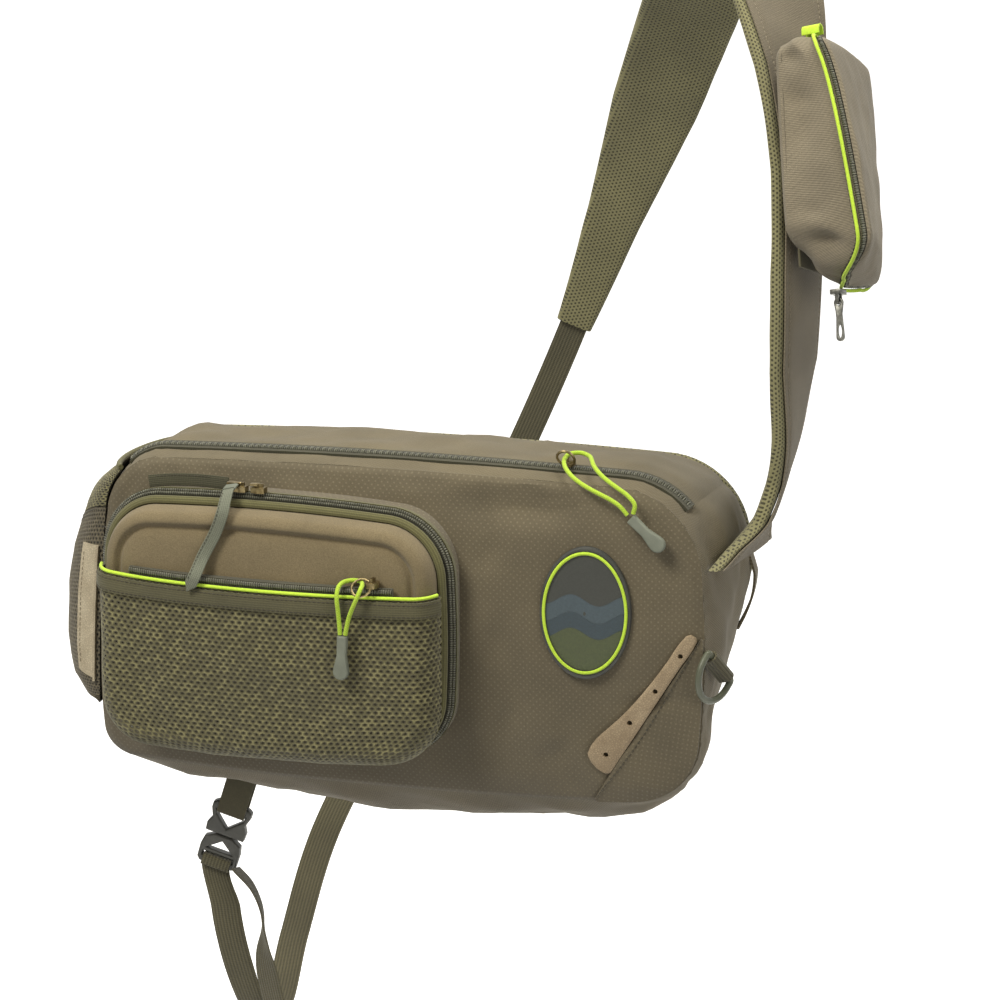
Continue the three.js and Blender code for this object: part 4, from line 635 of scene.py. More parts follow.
def coil(pile, path, out, side, half, height, pitch, closed=False):
    """A zip's coil in the pile's second look: a low ridge along a path with a bump for each tooth."""
    run = lengths(again(path) if closed else path)
    places = np.linspace(0, run[-1], int(run[-1] / pitch) * TOOTH["steps"])

    def along(values):
        values = np.broadcast_to(values, path.shape)
        return sampled(places, run, again(values) if closed else values)

    at, up, wide = along(path), unit(along(out)), unit(along(side))
    tooth = np.sin(CIRCLE * places / pitch)[:, None]
    angle = np.linspace(0, np.pi, TOOTH["sides"])
    across = half * (1 + TOOTH["wider"] * tooth) * np.cos(angle)
    rise = height * (1 + TOOTH["higher"] * tooth) * np.sin(angle)
    pile.grid(at[:, None] + wide[:, None] * across[..., None] + up[:, None] * rise[..., None], look=1)


FLAT_ANGLE, EDGE_ANGLE = math.radians(2), math.radians(24)


def refined(node, look, body="bag", bevel=0.4, segments=2, soften=False):
    """A finer copy of a hard CAD node, with its edges rounded."""
    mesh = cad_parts[node].data.copy()
    mesh.name = node + "_look"
    mesh.materials.clear()
    mesh.materials.append(LOOKS[look])
    shape = bmesh.new()
    shape.from_mesh(mesh)
    bmesh.ops.remove_doubles(shape, verts=shape.verts, dist=WELD)
    bmesh.ops.dissolve_limit(shape, angle_limit=FLAT_ANGLE, verts=shape.verts, edges=shape.edges)
    corners = [edge for edge in shape.edges if edge.is_manifold and edge.calc_face_angle(0) > EDGE_ANGLE]
    bmesh.ops.bevel(shape, geom=corners, offset=bevel / 1000, segments=segments, profile=0.6,
                    affect="EDGES", clamp_overlap=True)
    bmesh.ops.triangulate(shape, faces=[face for face in shape.faces if len(face.verts) > 4])
    if soften:
        bmesh.ops.smooth_vert(shape, verts=shape.verts, factor=0.3, use_axis_x=True, use_axis_y=True,
                              use_axis_z=True)
    bmesh.ops.recalc_face_normals(shape, faces=shape.faces)
    for face in shape.faces:
        face.material_index = 0
    shape.to_mesh(mesh)
    shape.free()
    return placed(node, mesh, body)


# Pull cords
CORD_DIAMETER = 2.8
MAIN_CORD = [
    (137.4, -71, 84.4), (132.4, -71.1, 89.7), (126.2, -70.4, 93.2), (119.4, -69.4, 95.9),
    (112.8, -68.1, 98.4), (106.3, -66.1, 101.1), (100.4, -63, 103.9), (95.4, -58.4, 106.6),
    (91.6, -52.8, 109), (89.6, -46.2, 111.7), (91.1, -39.4, 113.7), (97.1, -35.8, 114),
    (103.4, -38.9, 112.9), (106.8, -45.2, 111.9), (109.8, -51.6, 110.2), (114, -57, 107.8),
    (119.1, -61.5, 105.1), (124.8, -64.9, 102.4), (131, -67.6, 99.5), (137.1, -69.6, 96.2),
    (141.9, -70.9, 91.1), (141, -71, 85.5),
]
MESH_CORD = [
    (-24.8, -129.4, 10.6), (-23.7, -129.6, 15.9), (-22.3, -130, 21.2), (-20.5, -130.8, 25.7),
    (-18.4, -131.5, 30.2), (-16.4, -131.4, 34.8), (-15.1, -128.9, 39.3), (-15.6, -123.6, 41.5),
    (-18.2, -118.9, 42.2), (-23.4, -118, 42.6), (-28.3, -120.9, 41.9), (-30, -125.7, 40.1),
    (-30.1, -129.3, 36.1), (-29.7, -130.5, 31.3), (-29.3, -130.1, 26.4), (-28.9, -129.8, 21.4),
    (-28.5, -129.6, 16), (-28.2, -129.4, 10.6),
]


def pull_cord(node, end_node, table):
    path = along_rows(table, 150)
    made = rope(node, "cord", path, CORD_DIAMETER / 2, carried(path), sides=14)
    end = refined(end_node, "grip", bevel=1.1, segments=3, soften=True)


pull_cord("main_pull_cord", "main_pull_end", MAIN_CORD)
pull_cord("mesh_pull_cord", "mesh_pull_end", MESH_CORD)

# Body of the bag
CLOTH = 2
GAP = 0.5
BAG = {"left": -220, "right": 182, "bottom": -101, "top": 98, "radii": (46, 56, 34, 20),
       "bows": (4, 2, 3, 2)}
EDGE_STEPS, CORNER_STEPS = 30, 14
PER_EDGE = EDGE_STEPS + CORNER_STEPS
LEAST_RADIUS = 3
MIDDLE = ((BAG["left"] + BAG["right"]) / 2, (BAG["bottom"] + BAG["top"]) / 2)
HALF = ((BAG["right"] - BAG["left"]) / 2, (BAG["top"] - BAG["bottom"]) / 2)
FRONT_SEAM, BACK_SEAM, FRONT_CROWN = -62, 55, 16
DEPTH = BACK_SEAM - FRONT_SEAM
SWELLS = {"bottom": 26, "right": 4, "top": 7, "left": 6}
SWELL_POWER, SWELL_FALL = 2.4, (0.5, 200)
LEAN = {"from": 60, "left": 0.05, "back": 0.27, "below": 27}

# Dents of the front: rows of x, z, half width, half height and depth
DENTS = [(70, 84, 40, 9, 4), (150, -52, 26, 34, 3), (62, -30, 18, 60, 2.5)]
FRONT_CREASES = [
    (44, 92, 52, 60, 4, 1.6), (66, 96, 70, 72, 3.5, 2.0), (86, 96, 84, 76, 3.5, 1.6),
    (104, 95, 98, 78, 3, 1.2), (128, -38, 172, -30, 5, 2.2), (120, -70, 150, -46, 6, 1.6),
    (48, -20, 62, 24, 6, 1.8), (46, -70, 66, -40, 6, 1.8), (150, 66, 172, 40, 6, 1.5),
    (40, 40, 60, 70, 6, 1.4), (78, -84, 104, -58, 5, 1.4), (-205, 60, -190, 92, 5, 1.5),
]
FRONT_PUCKER = {"height": 0.5, "pitch": 15, "slant": 0.6, "stray": (1.7, 5, 60)}
FRONT_RIM = {"turn": 1.8, "from": 0.975, "thick": 0.6}
FRONT_SHARES = np.r_[1, 0.992, 0.98, np.linspace(0.965, 0.03, 44)][:, None]


def outline(box, inset=0.0, edge_steps=EDGE_STEPS, corner_steps=CORNER_STEPS):
    """Columns x, z and turn round a rounded outline; turn counts the edges from the bottom."""
    starts = [("right", "bottom", -1, 1), ("right", "top", -1, -1),
              ("left", "top", 1, -1), ("left", "bottom", 1, 1)]
    share = np.linspace(0, 1, corner_steps + 1)
    arcs = []
    for edge, (across, up, in_x, in_z) in enumerate(starts):
        radius = max(box["radii"][edge] - inset, LEAST_RADIUS)
        angle = np.radians(90 * (edge - 1) + 90 * share)
        x = box[across] + in_x * (inset + radius) + radius * np.cos(angle)
        z = box[up] + in_z * (inset + radius) + radius * np.sin(angle)
        arcs.append(np.stack([x, z, edge + share], 1))
    outwards = np.array([(0, -1, 0), (1, 0, 0), (0, 1, 0), (-1, 0, 0)])
    t = (np.arange(1, edge_steps) / edge_steps)[:, None]
    rows = []
    for edge in range(4):
        straight = lerp(arcs[edge - 1][-1], arcs[edge][0], t)
        straight = straight + box["bows"][edge] * arch(t) * outwards[edge]
        straight[:, 2] = edge
        rows += [straight, arcs[edge]]
    line = np.concatenate(rows)
    across = np.clip((line[:, 0] - box["left"]) / (box["right"] - box["left"]), 0, 1)
    line[:, 1] += lerp(*box.get("rise", (0, 0)), across) * smoothstep(line[:, 1], 0, box["top"])
    return line


def left_lean(x, z):
    return LEAN["left"] * (z - BAG["bottom"]) * smoothstep(-x, LEAN["from"], -BAG["left"])


def back_lean(x, z):
    return LEAN["back"] * np.maximum(LEAN["below"] - z, 0) * smoothstep(x, LEAN["from"], BAG["right"])


def front_y(x, z):
    across = np.abs(x - MIDDLE[0]) / HALF[0]
    up = np.abs(z - MIDDLE[1]) / HALF[1]
    reach = (across ** 4 + up ** 4) ** 0.25
    hollow = sum(depth * bump(x, dx, hx) * bump(z, dz, hz) for dx, dz, hx, hz, depth in DENTS)
    return FRONT_SEAM - FRONT_CROWN * (1 - reach ** 3) + hollow


def outward(line):
    step = np.roll(line, -1, 0) - np.roll(line, 1, 0)
    return unit(xyz(step[:, 1], 0, -step[:, 0]))


BAG_LINE = outline(BAG)
BAG_LINE[:, 0] += left_lean(BAG_LINE[:, 0], BAG_LINE[:, 1])
BACK_LINE = BAG_LINE.copy()
BACK_LINE[:, 0] -= back_lean(BACK_LINE[:, 0], BACK_LINE[:, 1])
BAG_OUT = outward(BAG_LINE)


def front_surface(x, z):
    """The front cloth with its folds, for the panel and what is sewn on it."""
    points = xyz(x, front_y(x, z), z)
    edge = np.maximum(np.abs(x - MIDDLE[0]) / HALF[0], np.abs(z - MIDDLE[1]) / HALF[1])
    stray = uneven(points, FRONT_PUCKER["stray"])
    pucker = np.sin(CIRCLE * (x + FRONT_PUCKER["slant"] * z) / FRONT_PUCKER["pitch"] + stray)
    pucker = FRONT_PUCKER["height"] * pucker * smoothstep(edge, 0.8, 1.0) * smoothstep(z, -60, 60)
    soft = uneven(points, (0.8, 11, 70), (0.3, 12, 26)) * smoothstep(1 - edge, 0, 0.12)
    points[..., 1] += crease(x, z, FRONT_CREASES) + pucker - soft
    return points


def front_panel():
    x = lerp(MIDDLE[0], BAG_LINE[:, 0], FRONT_SHARES)
    z = lerp(MIDDLE[1], BAG_LINE[:, 1], FRONT_SHARES)
    outer = front_surface(x, z)
    outer[..., 1] += FRONT_RIM["turn"] * smoothstep(FRONT_SHARES, FRONT_RIM["from"], 1.0)
    inner = outer + (0, CLOTH, 0)
    inner[0] = outer[0] + (0, FRONT_RIM["thick"], 0)
    sheet("front_panel", "cloth", outer, inner, again(flat_uv(x, z), 1), True)


def gusset(edge, shares, lift=0.0):
    """Points of one side wall between the middles of two corners, and its outward directions."""
    first = (edge - 1) % 4 * PER_EDGE + EDGE_STEPS - 1 + CORNER_STEPS // 2
    columns = (first + np.arange(PER_EDGE + 1)) % len(BAG_LINE)
    front, back, out = BAG_LINE[columns], BACK_LINE[columns], BAG_OUT[columns]
    fall, reach = SWELL_FALL
    bottom = SWELLS["bottom"] * (1 - fall * (front[:, 0] / reach) ** 2)
    swells = np.stack([bottom] + [np.full(len(front), SWELLS[side]) for side in ("right", "top", "left")])
    turn = front[:, 2]
    start = np.floor(turn).astype(int) % 4
    row = np.arange(len(front))
    swell = lerp(swells[start, row], swells[(start + 1) % 4, row], smoothstep(turn % 1, 0, 1))
    share = np.asarray(shares)[:, None]
    rise = swell * arch(share, SWELL_POWER) + lift
    x = lerp(front[:, 0], back[:, 0], share) + out[:, 0] * rise
    y = lerp(front_y(front[:, 0], front[:, 1]) + CLOTH + GAP, BACK_SEAM, share)
    return xyz(x, y, front[:, 1] + out[:, 2] * rise), out


GUSSET = {"ends": 14, "rims": 16, "pucker": 0.45, "pitch": 11, "pinch": 0.9, "pinch_half": 2.2}


def gusset_panel(node, edge, low, high, seed, rows, puff, creases):
    shares = np.linspace(low, high, rows)
    points, out = gusset(edge, shares)
    run = lengths(points[rows // 2])
    ends = np.minimum(run, run[-1] - run)
    rims = np.minimum(shares - low, high - shares)[:, None] * DEPTH
    normal = normals(points, out)
    inside = smoothstep(ends, 0, GUSSET["ends"]) * smoothstep(rims, 0, GUSSET["rims"])
    move = puff * uneven(points, (1.1, seed, 62), (0.4, seed + 1, 24)) * inside
    pucker = np.sin(CIRCLE * run / GUSSET["pitch"] + uneven(points, (2, seed + 2, 50)))
    pucker = GUSSET["pucker"] * pucker * bump(rims, 3, 5) * smoothstep(ends, 0, 10)
    move = move + pucker - GUSSET["pinch"] * bump(ends, 0, GUSSET["pinch_half"])
    move = move - crease(run + 0 * points[..., 0], points[..., 1], creases)
    outer = points + normal * move[..., None]
    uv = flat_uv(run, points[:, len(run) // 2, 1][:, None])
    sheet(node, "twill", outer, outer - normal * CLOTH, uv)


BOTTOM_CREASES = [(90, -55, 150, -10, 6, 2.2), (190, -58, 230, -20, 6, 2.0), (270, -55, 330, -5, 7, 2.4),
                  (60, 20, 120, 45, 8, 2.0), (230, 20, 300, 40, 8, 1.8)]
END_CREASES = [(40, -50, 90, -20, 5, 1.5), (120, 10, 170, 40, 5, 1.5)]

# Rows are node, edge of the outline, shares of the depth, seed, rows, puff and creases
GUSSETS = [
    ("gusset_bottom", 0, 0, 1, 21, 40, 1.5, BOTTOM_CREASES),
    ("end_panel_right", 1, 0, 1, 31, 36, 1.0, END_CREASES),
    ("end_panel_left", 3, 0, 1, 41, 36, 1.0, END_CREASES),
    ("gusset_top_front", 2, 0, 0.11, 51, 8, 0.3, ()),
    ("gusset_top_back", 2, 0.23, 1, 61, 28, 1.2, ()),
]
MAIN_ZIP = {"edge": 2, "from": 0.116, "to": 0.224, "rows": 9, "lift": 1.2, "sunk": 0.2,
            "coil": (2.8, 1.5, 2.0)}


def main_zip():
    shares = np.linspace(MAIN_ZIP["from"], MAIN_ZIP["to"], MAIN_ZIP["rows"])
    tape, out = gusset(MAIN_ZIP["edge"], shares, MAIN_ZIP["lift"])
    normal = normals(tape, out)
    pile = Pile("tape", "coil")
    pile.wall(tape, tape - normal * CLOTH)
    middle = MAIN_ZIP["rows"] // 2
    path = tape[middle] - normal[middle] * MAIN_ZIP["sunk"]
    coil(pile, path, normal[middle], -FORWARD, *MAIN_ZIP["coil"])
    pile.make("main_zip")


# The back's rolled edge: rows of inset and y, up to its flat face
BACK_PROFILE = [(30, 56.2), (6, 55.6), (1.6, 56.2), (0.2, 58.5), (0, 61), (0.8, 63.6), (2.6, 65),
                (6, 65.5)]
BACK_SHARES = np.linspace(0.06, 0.97, 16)


def back_panel():
    """The padded back: rolled edges and a flat face."""
    out = outward(BACK_LINE)
    line = xyz(BACK_LINE[:, 0], 0, BACK_LINE[:, 1])
    rings = [line - out * inset + (0, y, 0) for inset, y in BACK_PROFILE]
    rim, flat = BACK_PROFILE[-1]
    middle = np.array((MIDDLE[0], 0, MIDDLE[1]))
    rings += [lerp(line - out * rim, middle, share) + (0, flat, 0) for share in BACK_SHARES]
    points = np.stack(rings)
    face = points[len(BACK_PROFILE):]
    face[..., 1] -= 0.35 * (1 + waves(face, 71, 50))
    uv = points[..., [0, 2]]
    uv[1:7] += np.arange(1, 7)[:, None, None]
    pile = Pile("spacer")
    pile.grid(points, again(uv, 1), True)
    pile.cap(points[0])
    pile.cap(points[-1])
    pile.make("back_panel")


CORNER = {"bottom": (113.4, -102), "side": (183.9, 10.5), "thick": 1.2, "lift": 0.6, "rim": 0.985,
          "clear": 2, "hem": (0.5, 0.05, 0.05), "weave": (0.8, 0.6), "seam_row": 2}


def corner_panel():
    (bx, bz), (sx, sz) = CORNER["bottom"], CORNER["side"]
    clear = CORNER["clear"]
    keep = (BAG_LINE[:, 0] > bx + clear) & (BAG_LINE[:, 1] < sz - clear) & (BAG_LINE[:, 2] <= 1)
    edge = np.concatenate([[(bx, bz)], BAG_LINE[keep][:, :2], [(sx, sz)]])
    run = lengths(edge)
    t = np.linspace(0.02, 0.98, 70)
    seam = lerp(np.array((bx, bz)), np.array((sx, sz)), t[:, None])
    share = np.linspace(0, CORNER["rim"], 22)[:, None]
    x, z = np.moveaxis(lerp(seam, sampled(t * run[-1], run, edge), share[..., None]), -1, 0)
    points = front_surface(x, z) + FORWARD * CORNER["lift"]
    height, middle, half = CORNER["hem"]
    front = points.copy()
    front[..., 1] -= CORNER["thick"] + height * bump(share, middle, half)
    cos, sin = CORNER["weave"]
    pile = Pile("cloth", "thread_dark")
    pile.wall(front, points, flat_uv(x * cos + z * sin, z * cos - x * sin))
    pile.stitches(front[CORNER["seam_row"]], FORWARD)
    pile.make("corner_panel")


front_panel()
for panel in GUSSETS:
    gusset_panel(*panel)
main_zip()
back_panel()
corner_panel()

# Moulded pocket: rows are inset and depth
POCKET = {"left": -201.5, "right": 31, "bottom": -73, "top": 81.5, "radii": (38, 42, 42, 28),
          "bows": (4.5, 1, 2, 1), "rise": (4, 0)}
POCKET_MIDDLE = np.array((-85.25, 0, 4.25))
WALL_DEPTH, SEWN_DEPTH, WALL_THICK, WALL_SINK = 86.9, 91.4, 2.6, 0.2
ZIP_BAND, ZIP_LINING = [(-0.8, 88.5), (2.2, 91.7)], [(1.6, 87.3), (4.6, 90.6)]
TAPE_OUTER, TAPE_INNER = [(-0.5, 81.9), (-1.4, 87.8)], [(-0.1, 81.9), (-0.8, 87.8)]
ZIP_COILS, ZIP_COIL, ZIP_SLOPE = [(-0.1, 89.2), (1.5, 90.9)], (0.95, 1.0, 1.7), (0.73, 0.69)
BINDING_AT, BINDING_HALF = (4.7, 95.8), (2.8, 1.3)
LID_PROFILE = [(7.5, 97), (7.5, 100), (8.4, 105), (10.5, 110), (15.5, 112.8), (19.5, 109.6), (23, 112.8),
               (48, 115.5)]
LID_LINING = [(11, 97), (11, 101), (16, 106.6), (48, 109)]
LID_DIP = {"depth": 1.6, "x": -104, "half": 11, "from": 20, "to": 60}
LID_RIM_ROWS, LID_CENTRE = 6, 0.6


def pocket_ring(inset, depth):
    line = outline(POCKET, inset)
    return xyz(line[:, 0], -depth, line[:, 1])


def pocket_rings(rows, columns=slice(None)):
    return np.stack([pocket_ring(*row)[columns] for row in rows])


def pocket():
    line = outline(POCKET)
    out = outward(line)
    foot = front_surface(line[:, 0], line[:, 1]) + FORWARD * WALL_SINK
    rim = xyz(line[:, 0], np.where(line[:, 2] == 0, -SEWN_DEPTH, -WALL_DEPTH), line[:, 1])
    shares = np.linspace(0, 1, 7)[:, None]
    outer = lerp(foot, rim, shares[..., None])
    outer = outer + out * (uneven(outer, (0.5, 81, 40)) * np.sin(np.pi * shares))[..., None]
    sheet("pocket_wall", "cloth", outer, outer - out * WALL_THICK, closed=True)

    columns = (EDGE_STEPS + 3 + np.arange(3 * PER_EDGE + CORNER_STEPS - 6)) % len(line)
    pile = Pile("tape", "coil", "binding")
    pile.wall(pocket_rings(ZIP_BAND, columns), pocket_rings(ZIP_LINING, columns))
    pile.wall(pocket_rings(TAPE_OUTER, columns), pocket_rings(TAPE_INNER, columns), look=2)
    major, minor = ZIP_SLOPE
    up = unit(out[columns] * major + FORWARD * minor)
    slope = unit(FORWARD * major - out[columns] * minor)
    for path in pocket_rings(ZIP_COILS, columns):
        coil(pile, path, up, slope, *ZIP_COIL)
    pile.make("pocket_zip")

    path = pocket_ring(*BINDING_AT)
    rope("pocket_binding", "binding", path, BINDING_HALF, out * 0.6 + FORWARD * 0.8, True, 16)

    outer = pocket_rings(along_rows([(*row, 0) for row in LID_PROFILE], 46)[:, :2])
    last = outer[-1]
    centre = POCKET_MIDDLE + (0, last[0, 1] - LID_CENTRE, 0)
    inwards = np.stack([lerp(last, centre, share) for share in np.linspace(0.1, 0.96, 14)])
    outer = np.concatenate([outer, inwards])
    dip = LID_DIP["depth"] * bump(outer[..., 0], LID_DIP["x"], LID_DIP["half"])
    dip = dip * smoothstep(outer[..., 2], LID_DIP["from"], LID_DIP["to"])
    outer[LID_RIM_ROWS:, :, 1] += (dip + uneven(outer, (0.35, 91, 55)))[LID_RIM_ROWS:]
    uv = flat_uv(outer[..., 0], outer[..., 2] - 0.6 * (outer[..., 1] + 110))
    inside = pocket_rings(LID_LINING)
    pile = Pile("moulded")
    pile.grid(outer, again(uv, 1), True)
    pile.cap(outer[-1])
    pile.grid(inside, closed=True)
    pile.cap(inside[-1])
    pile.grid(np.stack([outer[0], inside[0]]), closed=True)
    pile.make("pocket_lid")


pocket()

# Mesh pocket on the lid
NET = {"left": -196.4, "right": 26.2, "bottom": -76, "bow": 5, "top": 34.3, "sag": 2.2, "rise": 2.4,
       "fall": 2, "reach": 12, "bottom_foot": 91, "side_foot": 100.2, "front": 116.5, "belly": 7}
NET_RADII = {"right": 36, "left": 31}
NET_THICK, NET_SOFT, NET_RIM, SHADE_BACKING_LIFT = 1.4, 34, 18, 0.12
# The cell's listed levels of painted light: a painted highlight at its top and bottom corners, painted
# shade on the back layer
NET_CELL = {"peak": 0.64, "shoulder": 0.36, "painted_light_levels": (1.0, 0.6, 0.6, 1.0, 0.6, 0.6), "back": 0.3}
BAND = {"tall": 11, "of": 110.3, "top": 0.995, "clear": 0.5, "thick": 1.7, "pad": 0.4,
        "lump": (0.25, 111, 16), "seams": (1, 6)}
PIPING = {"half": 1.15, "rise": 1.6}
NET_ZIP = {"from": -172, "to": 2, "steps": 120, "back": -116.2, "front": -118.6, "inset": 1.1,
           "low": 2.2, "high": 7.1, "coil_drop": 2, "coil": (1.5, 1.0, 1.7)}


def drawn_in(radius, over):
    """How far a round corner lies in from its side, over past its start."""
    return radius - np.sqrt(np.maximum(radius ** 2 - np.maximum(over, 0) ** 2, 0))


def net_inside(x, z):
    middle = (NET["left"] + NET["right"]) / 2
    radius = np.where(x > middle, NET_RADII["right"], NET_RADII["left"])
    over_x = np.abs(x - middle) - (NET["right"] - NET["left"]) / 2 + radius
    over_z = NET["bottom"] + radius - z
    outside = np.hypot(np.maximum(over_x, 0), np.maximum(over_z, 0))
    return radius - outside - np.minimum(np.maximum(over_x, over_z), 0)


def net_top(u):
    return NET["top"] - NET["sag"] * np.sin(np.pi * u) + NET["rise"] * (1 - u) ** 10 - NET["fall"] * u


def net_point(u, v):
    below = NET["bottom"] - lerp(NET["bottom"], NET["top"], v)
    left = NET["left"] + drawn_in(NET_RADII["left"], below + NET_RADII["left"])
    right = NET["right"] - drawn_in(NET_RADII["right"], below + NET_RADII["right"])
    x = lerp(left, right, u)
    z = lerp(NET["bottom"], net_top(u), v)
    share = np.clip(net_inside(x, z) / NET["reach"], 0, 1)
    round_off = np.sqrt(1 - (1 - share) ** 2)
    start = lerp(NET["bottom_foot"], NET["side_foot"], smoothstep(np.maximum(u, 1 - u), 0.72, 0.97))
    swell = NET["belly"] * np.maximum(np.sin(np.pi * u), 0) ** 0.6 * smoothstep(v, 0, 0.7)
    drop = NET["bow"] * arch(u) * (1 - v) ** 2
    return xyz(x, -lerp(start, NET["front"], round_off) - swell, z - drop)


def surface_normal(point, u, v, hint):
    step = 2e-3
    across = point(np.minimum(u + step, 1), v) - point(np.maximum(u - step, 0), v)
    up = point(u, np.minimum(v + step, 1)) - point(u, np.maximum(v - step, 0))
    return facing(np.cross(across, up), hint)


def lattice(pile, point, hint, pitch, hole, soft, seed, shade_backing=None):
    """A net with real holes over a surface point(u, v), in staggered rows of six-sided cells.

    hole is a hole's share of its cell, and the last argument the look of a close dark layer right behind
    the net: painted shade in its holes."""
    fine = np.linspace(0, 1, 500)
    run_u, run_v = lengths(point(fine, fine * 0 + 0.5)), lengths(point(fine * 0 + 0.5, fine))
    columns, rows = round(run_u[-1] / pitch[0]), round(run_v[-1] / pitch[1])
    wide, tall = run_u[-1] / columns, run_v[-1] / rows
    peak, shoulder = NET_CELL["peak"] * tall, NET_CELL["shoulder"] * tall
    cell = np.array([(0, peak), (wide / 2, shoulder), (wide / 2, -shoulder), (0, -peak),
                     (-wide / 2, -shoulder), (-wide / 2, shoulder)])
    row, column = np.meshgrid(np.arange(rows + 1), np.arange(columns + 1), indexing="ij")
    centres = np.stack([(column + 0.5 * (row % 2)) * wide, row * tall], -1).reshape(-1, 1, 2)

    def surface(flat, rise):
        s = np.clip(flat[..., 0], 0, run_u[-1])
        t = np.clip(flat[..., 1], 0, run_v[-1])
        u, v = np.interp(s, run_u, fine), np.interp(t, run_v, fine)
        base = point(u, v)
        rim = np.minimum(np.minimum(s, run_u[-1] - s), np.minimum(t, run_v[-1] - t))
        move = rise + soft * waves(base, seed, NET_SOFT) * smoothstep(rim, 0, NET_RIM)
        return base + surface_normal(point, u, v, hint) * move[..., None]

    outer, inner = centres + cell, centres + cell * hole
    shape = outer.shape[:2]
    # Levels of painted light: highest on the cells' tops as a painted highlight, lowest at the hole edges
    # and on the back layer as painted shade
    painted_light_levels = np.tile(NET_CELL["painted_light_levels"], len(outer))
    top = pile.add_points(surface(outer, NET_THICK), painted_light_levels).reshape(shape)
    edge = pile.add_points(surface(inner, NET_THICK * 0.5), 0.0).reshape(shape)
    low = pile.add_points(surface(outer, 0.0), NET_CELL["back"]).reshape(shape)
    next_top, next_edge, next_low = (np.roll(index, -1, 1) for index in (top, edge, low))
    faces = np.concatenate([
        np.stack([top, next_top, next_edge, edge], -1).reshape(-1, 4),
        np.stack([next_low, low, edge, next_edge], -1).reshape(-1, 4),
    ])
    uv = np.repeat(outer.reshape(-1, 1, 2), 4, 1)
    pile.add_faces(faces, np.concatenate([uv, uv]))
    # a close dark layer right behind the net: painted shade in the holes
    if shade_backing is not None:
        flat = np.meshgrid(np.linspace(0, run_u[-1], 90), np.linspace(0, run_v[-1], 60))
        pile.grid(surface(np.stack(flat, -1), SHADE_BACKING_LIFT), look=shade_backing)


def mesh_pocket():
    pile = Pile("net")
    lattice(pile, net_point, FORWARD, (4.5, 2.8), 0.27, 0.5, 101)
    pile.make("mesh_pocket", sharp=SHARP_NET)

    u = 0.5 - 0.5 * np.cos(np.pi * np.linspace(0.03, 0.97, 150))
    v = np.linspace(1 - BAND["tall"] / BAND["of"], BAND["top"], 8)
    grid_u, grid_v = np.meshgrid(u, v)
    base = net_point(grid_u, grid_v)
    normal = surface_normal(net_point, grid_u, grid_v, FORWARD)
    pad = BAND["pad"] * np.sin(np.pi * (grid_v - v[0]) / (v[-1] - v[0]))
    outer = base + normal * (NET_THICK + BAND["thick"] + uneven(base, BAND["lump"]) + pad)[..., None]
    pile = Pile("band", "thread_dark")
    pile.wall(outer, base + normal * (NET_THICK + BAND["clear"]))
    for row in BAND["seams"]:
        pile.stitches(outer[row], normal[row], pitch=3.0, length=2.2)
    pile.make("mesh_band")

    top = np.ones_like(u)
    path = net_point(u, top) + surface_normal(net_point, u, top, FORWARD) * (NET_THICK / 2)
    rope("mesh_piping", "neon", path + UPWARD * PIPING["rise"], PIPING["half"], FORWARD)

    x = np.linspace(NET_ZIP["from"], NET_ZIP["to"], NET_ZIP["steps"])
    share = (x - NET["left"]) / (NET["right"] - NET["left"])
    front = np.minimum(net_point(share, np.ones_like(share))[:, 1] + NET_ZIP["inset"], NET_ZIP["front"])
    low, high = net_top(share) + NET_ZIP["low"], net_top(share) + NET_ZIP["high"]
    pile = Pile("tape", "coil")
    pile.wall(*(np.stack([xyz(x, NET_ZIP["back"], z), xyz(x, front, z)]) for z in (high, low)))
    coil(pile, xyz(x, front, high - NET_ZIP["coil_drop"]), FORWARD, UPWARD, *NET_ZIP["coil"])
    pile.make("mesh_zip")


mesh_pocket()

# Ribbon pulls
HANGING = [
    (-112.6, -93.4, 91.3), (-112.3, -99.6, 89.8), (-111.2, -108, 85.2), (-111, -113.8, 78),
    (-115, -115.6, 66), (-122, -119.4, 51), (-125, -128, 39), (-129.3, -128.6, 30.4),
]
LYING = [
    (-118, -85, 90.6), (-140, -82, 90.7), (-158, -81, 89.8), (-174, -80, 87.6),
]
RIBBON = {"half": 4.0, "thick": 1.2, "tip": 5.0, "least": 0.08, "seam": 2.9}
RIBBON_SLEEVE = {"rows": 9, "half": 4.5, "thick": 2.2}


def flat_sweep(pile, at, side, out, half, thick, look=0, columns=9):
    """A flat band with softened edges, swept through frames; half is one width or one for each row."""
    share = np.linspace(-1, 1, columns)
    soft = np.sqrt(np.maximum(1 - np.abs(share) ** 10, 0.0)) * 0.7 + 0.3
    across = np.broadcast_to(half, (len(at),))[:, None] * share
    middle = at[:, None] + side[:, None] * across[..., None]
    rise = out[:, None] * (thick / 2 * soft)[:, None]
    pile.wall(middle + rise, middle - rise, flat_uv(lengths(at)[:, None], across), look=look)


def ribbon(node, table, look, tip):
    path = along_rows(table, 60)
    along = unit(tangents(path))
    out = square_to(FORWARD, along)
    side = np.cross(along, out)
    pile = Pile(look, "grip", "thread_dark")
    half = RIBBON["half"]
    if tip:
        run = lengths(path)
        half = half * np.clip((run[-1] - run) / RIBBON["tip"], RIBBON["least"], 1)
    flat_sweep(pile, path, side, out, half, RIBBON["thick"])
    if tip:
        start = (line[:RIBBON_SLEEVE["rows"]] for line in (path, side, out))
        flat_sweep(pile, *start, RIBBON_SLEEVE["half"], RIBBON_SLEEVE["thick"], look=1)
    edge = path + side * RIBBON["seam"] + out * (RIBBON["thick"] / 2)
    pile.stitches(edge[10:-6], out[10:-6], 2, pitch=2.4, length=1.7, radius=0.22)
    pile.make(node)


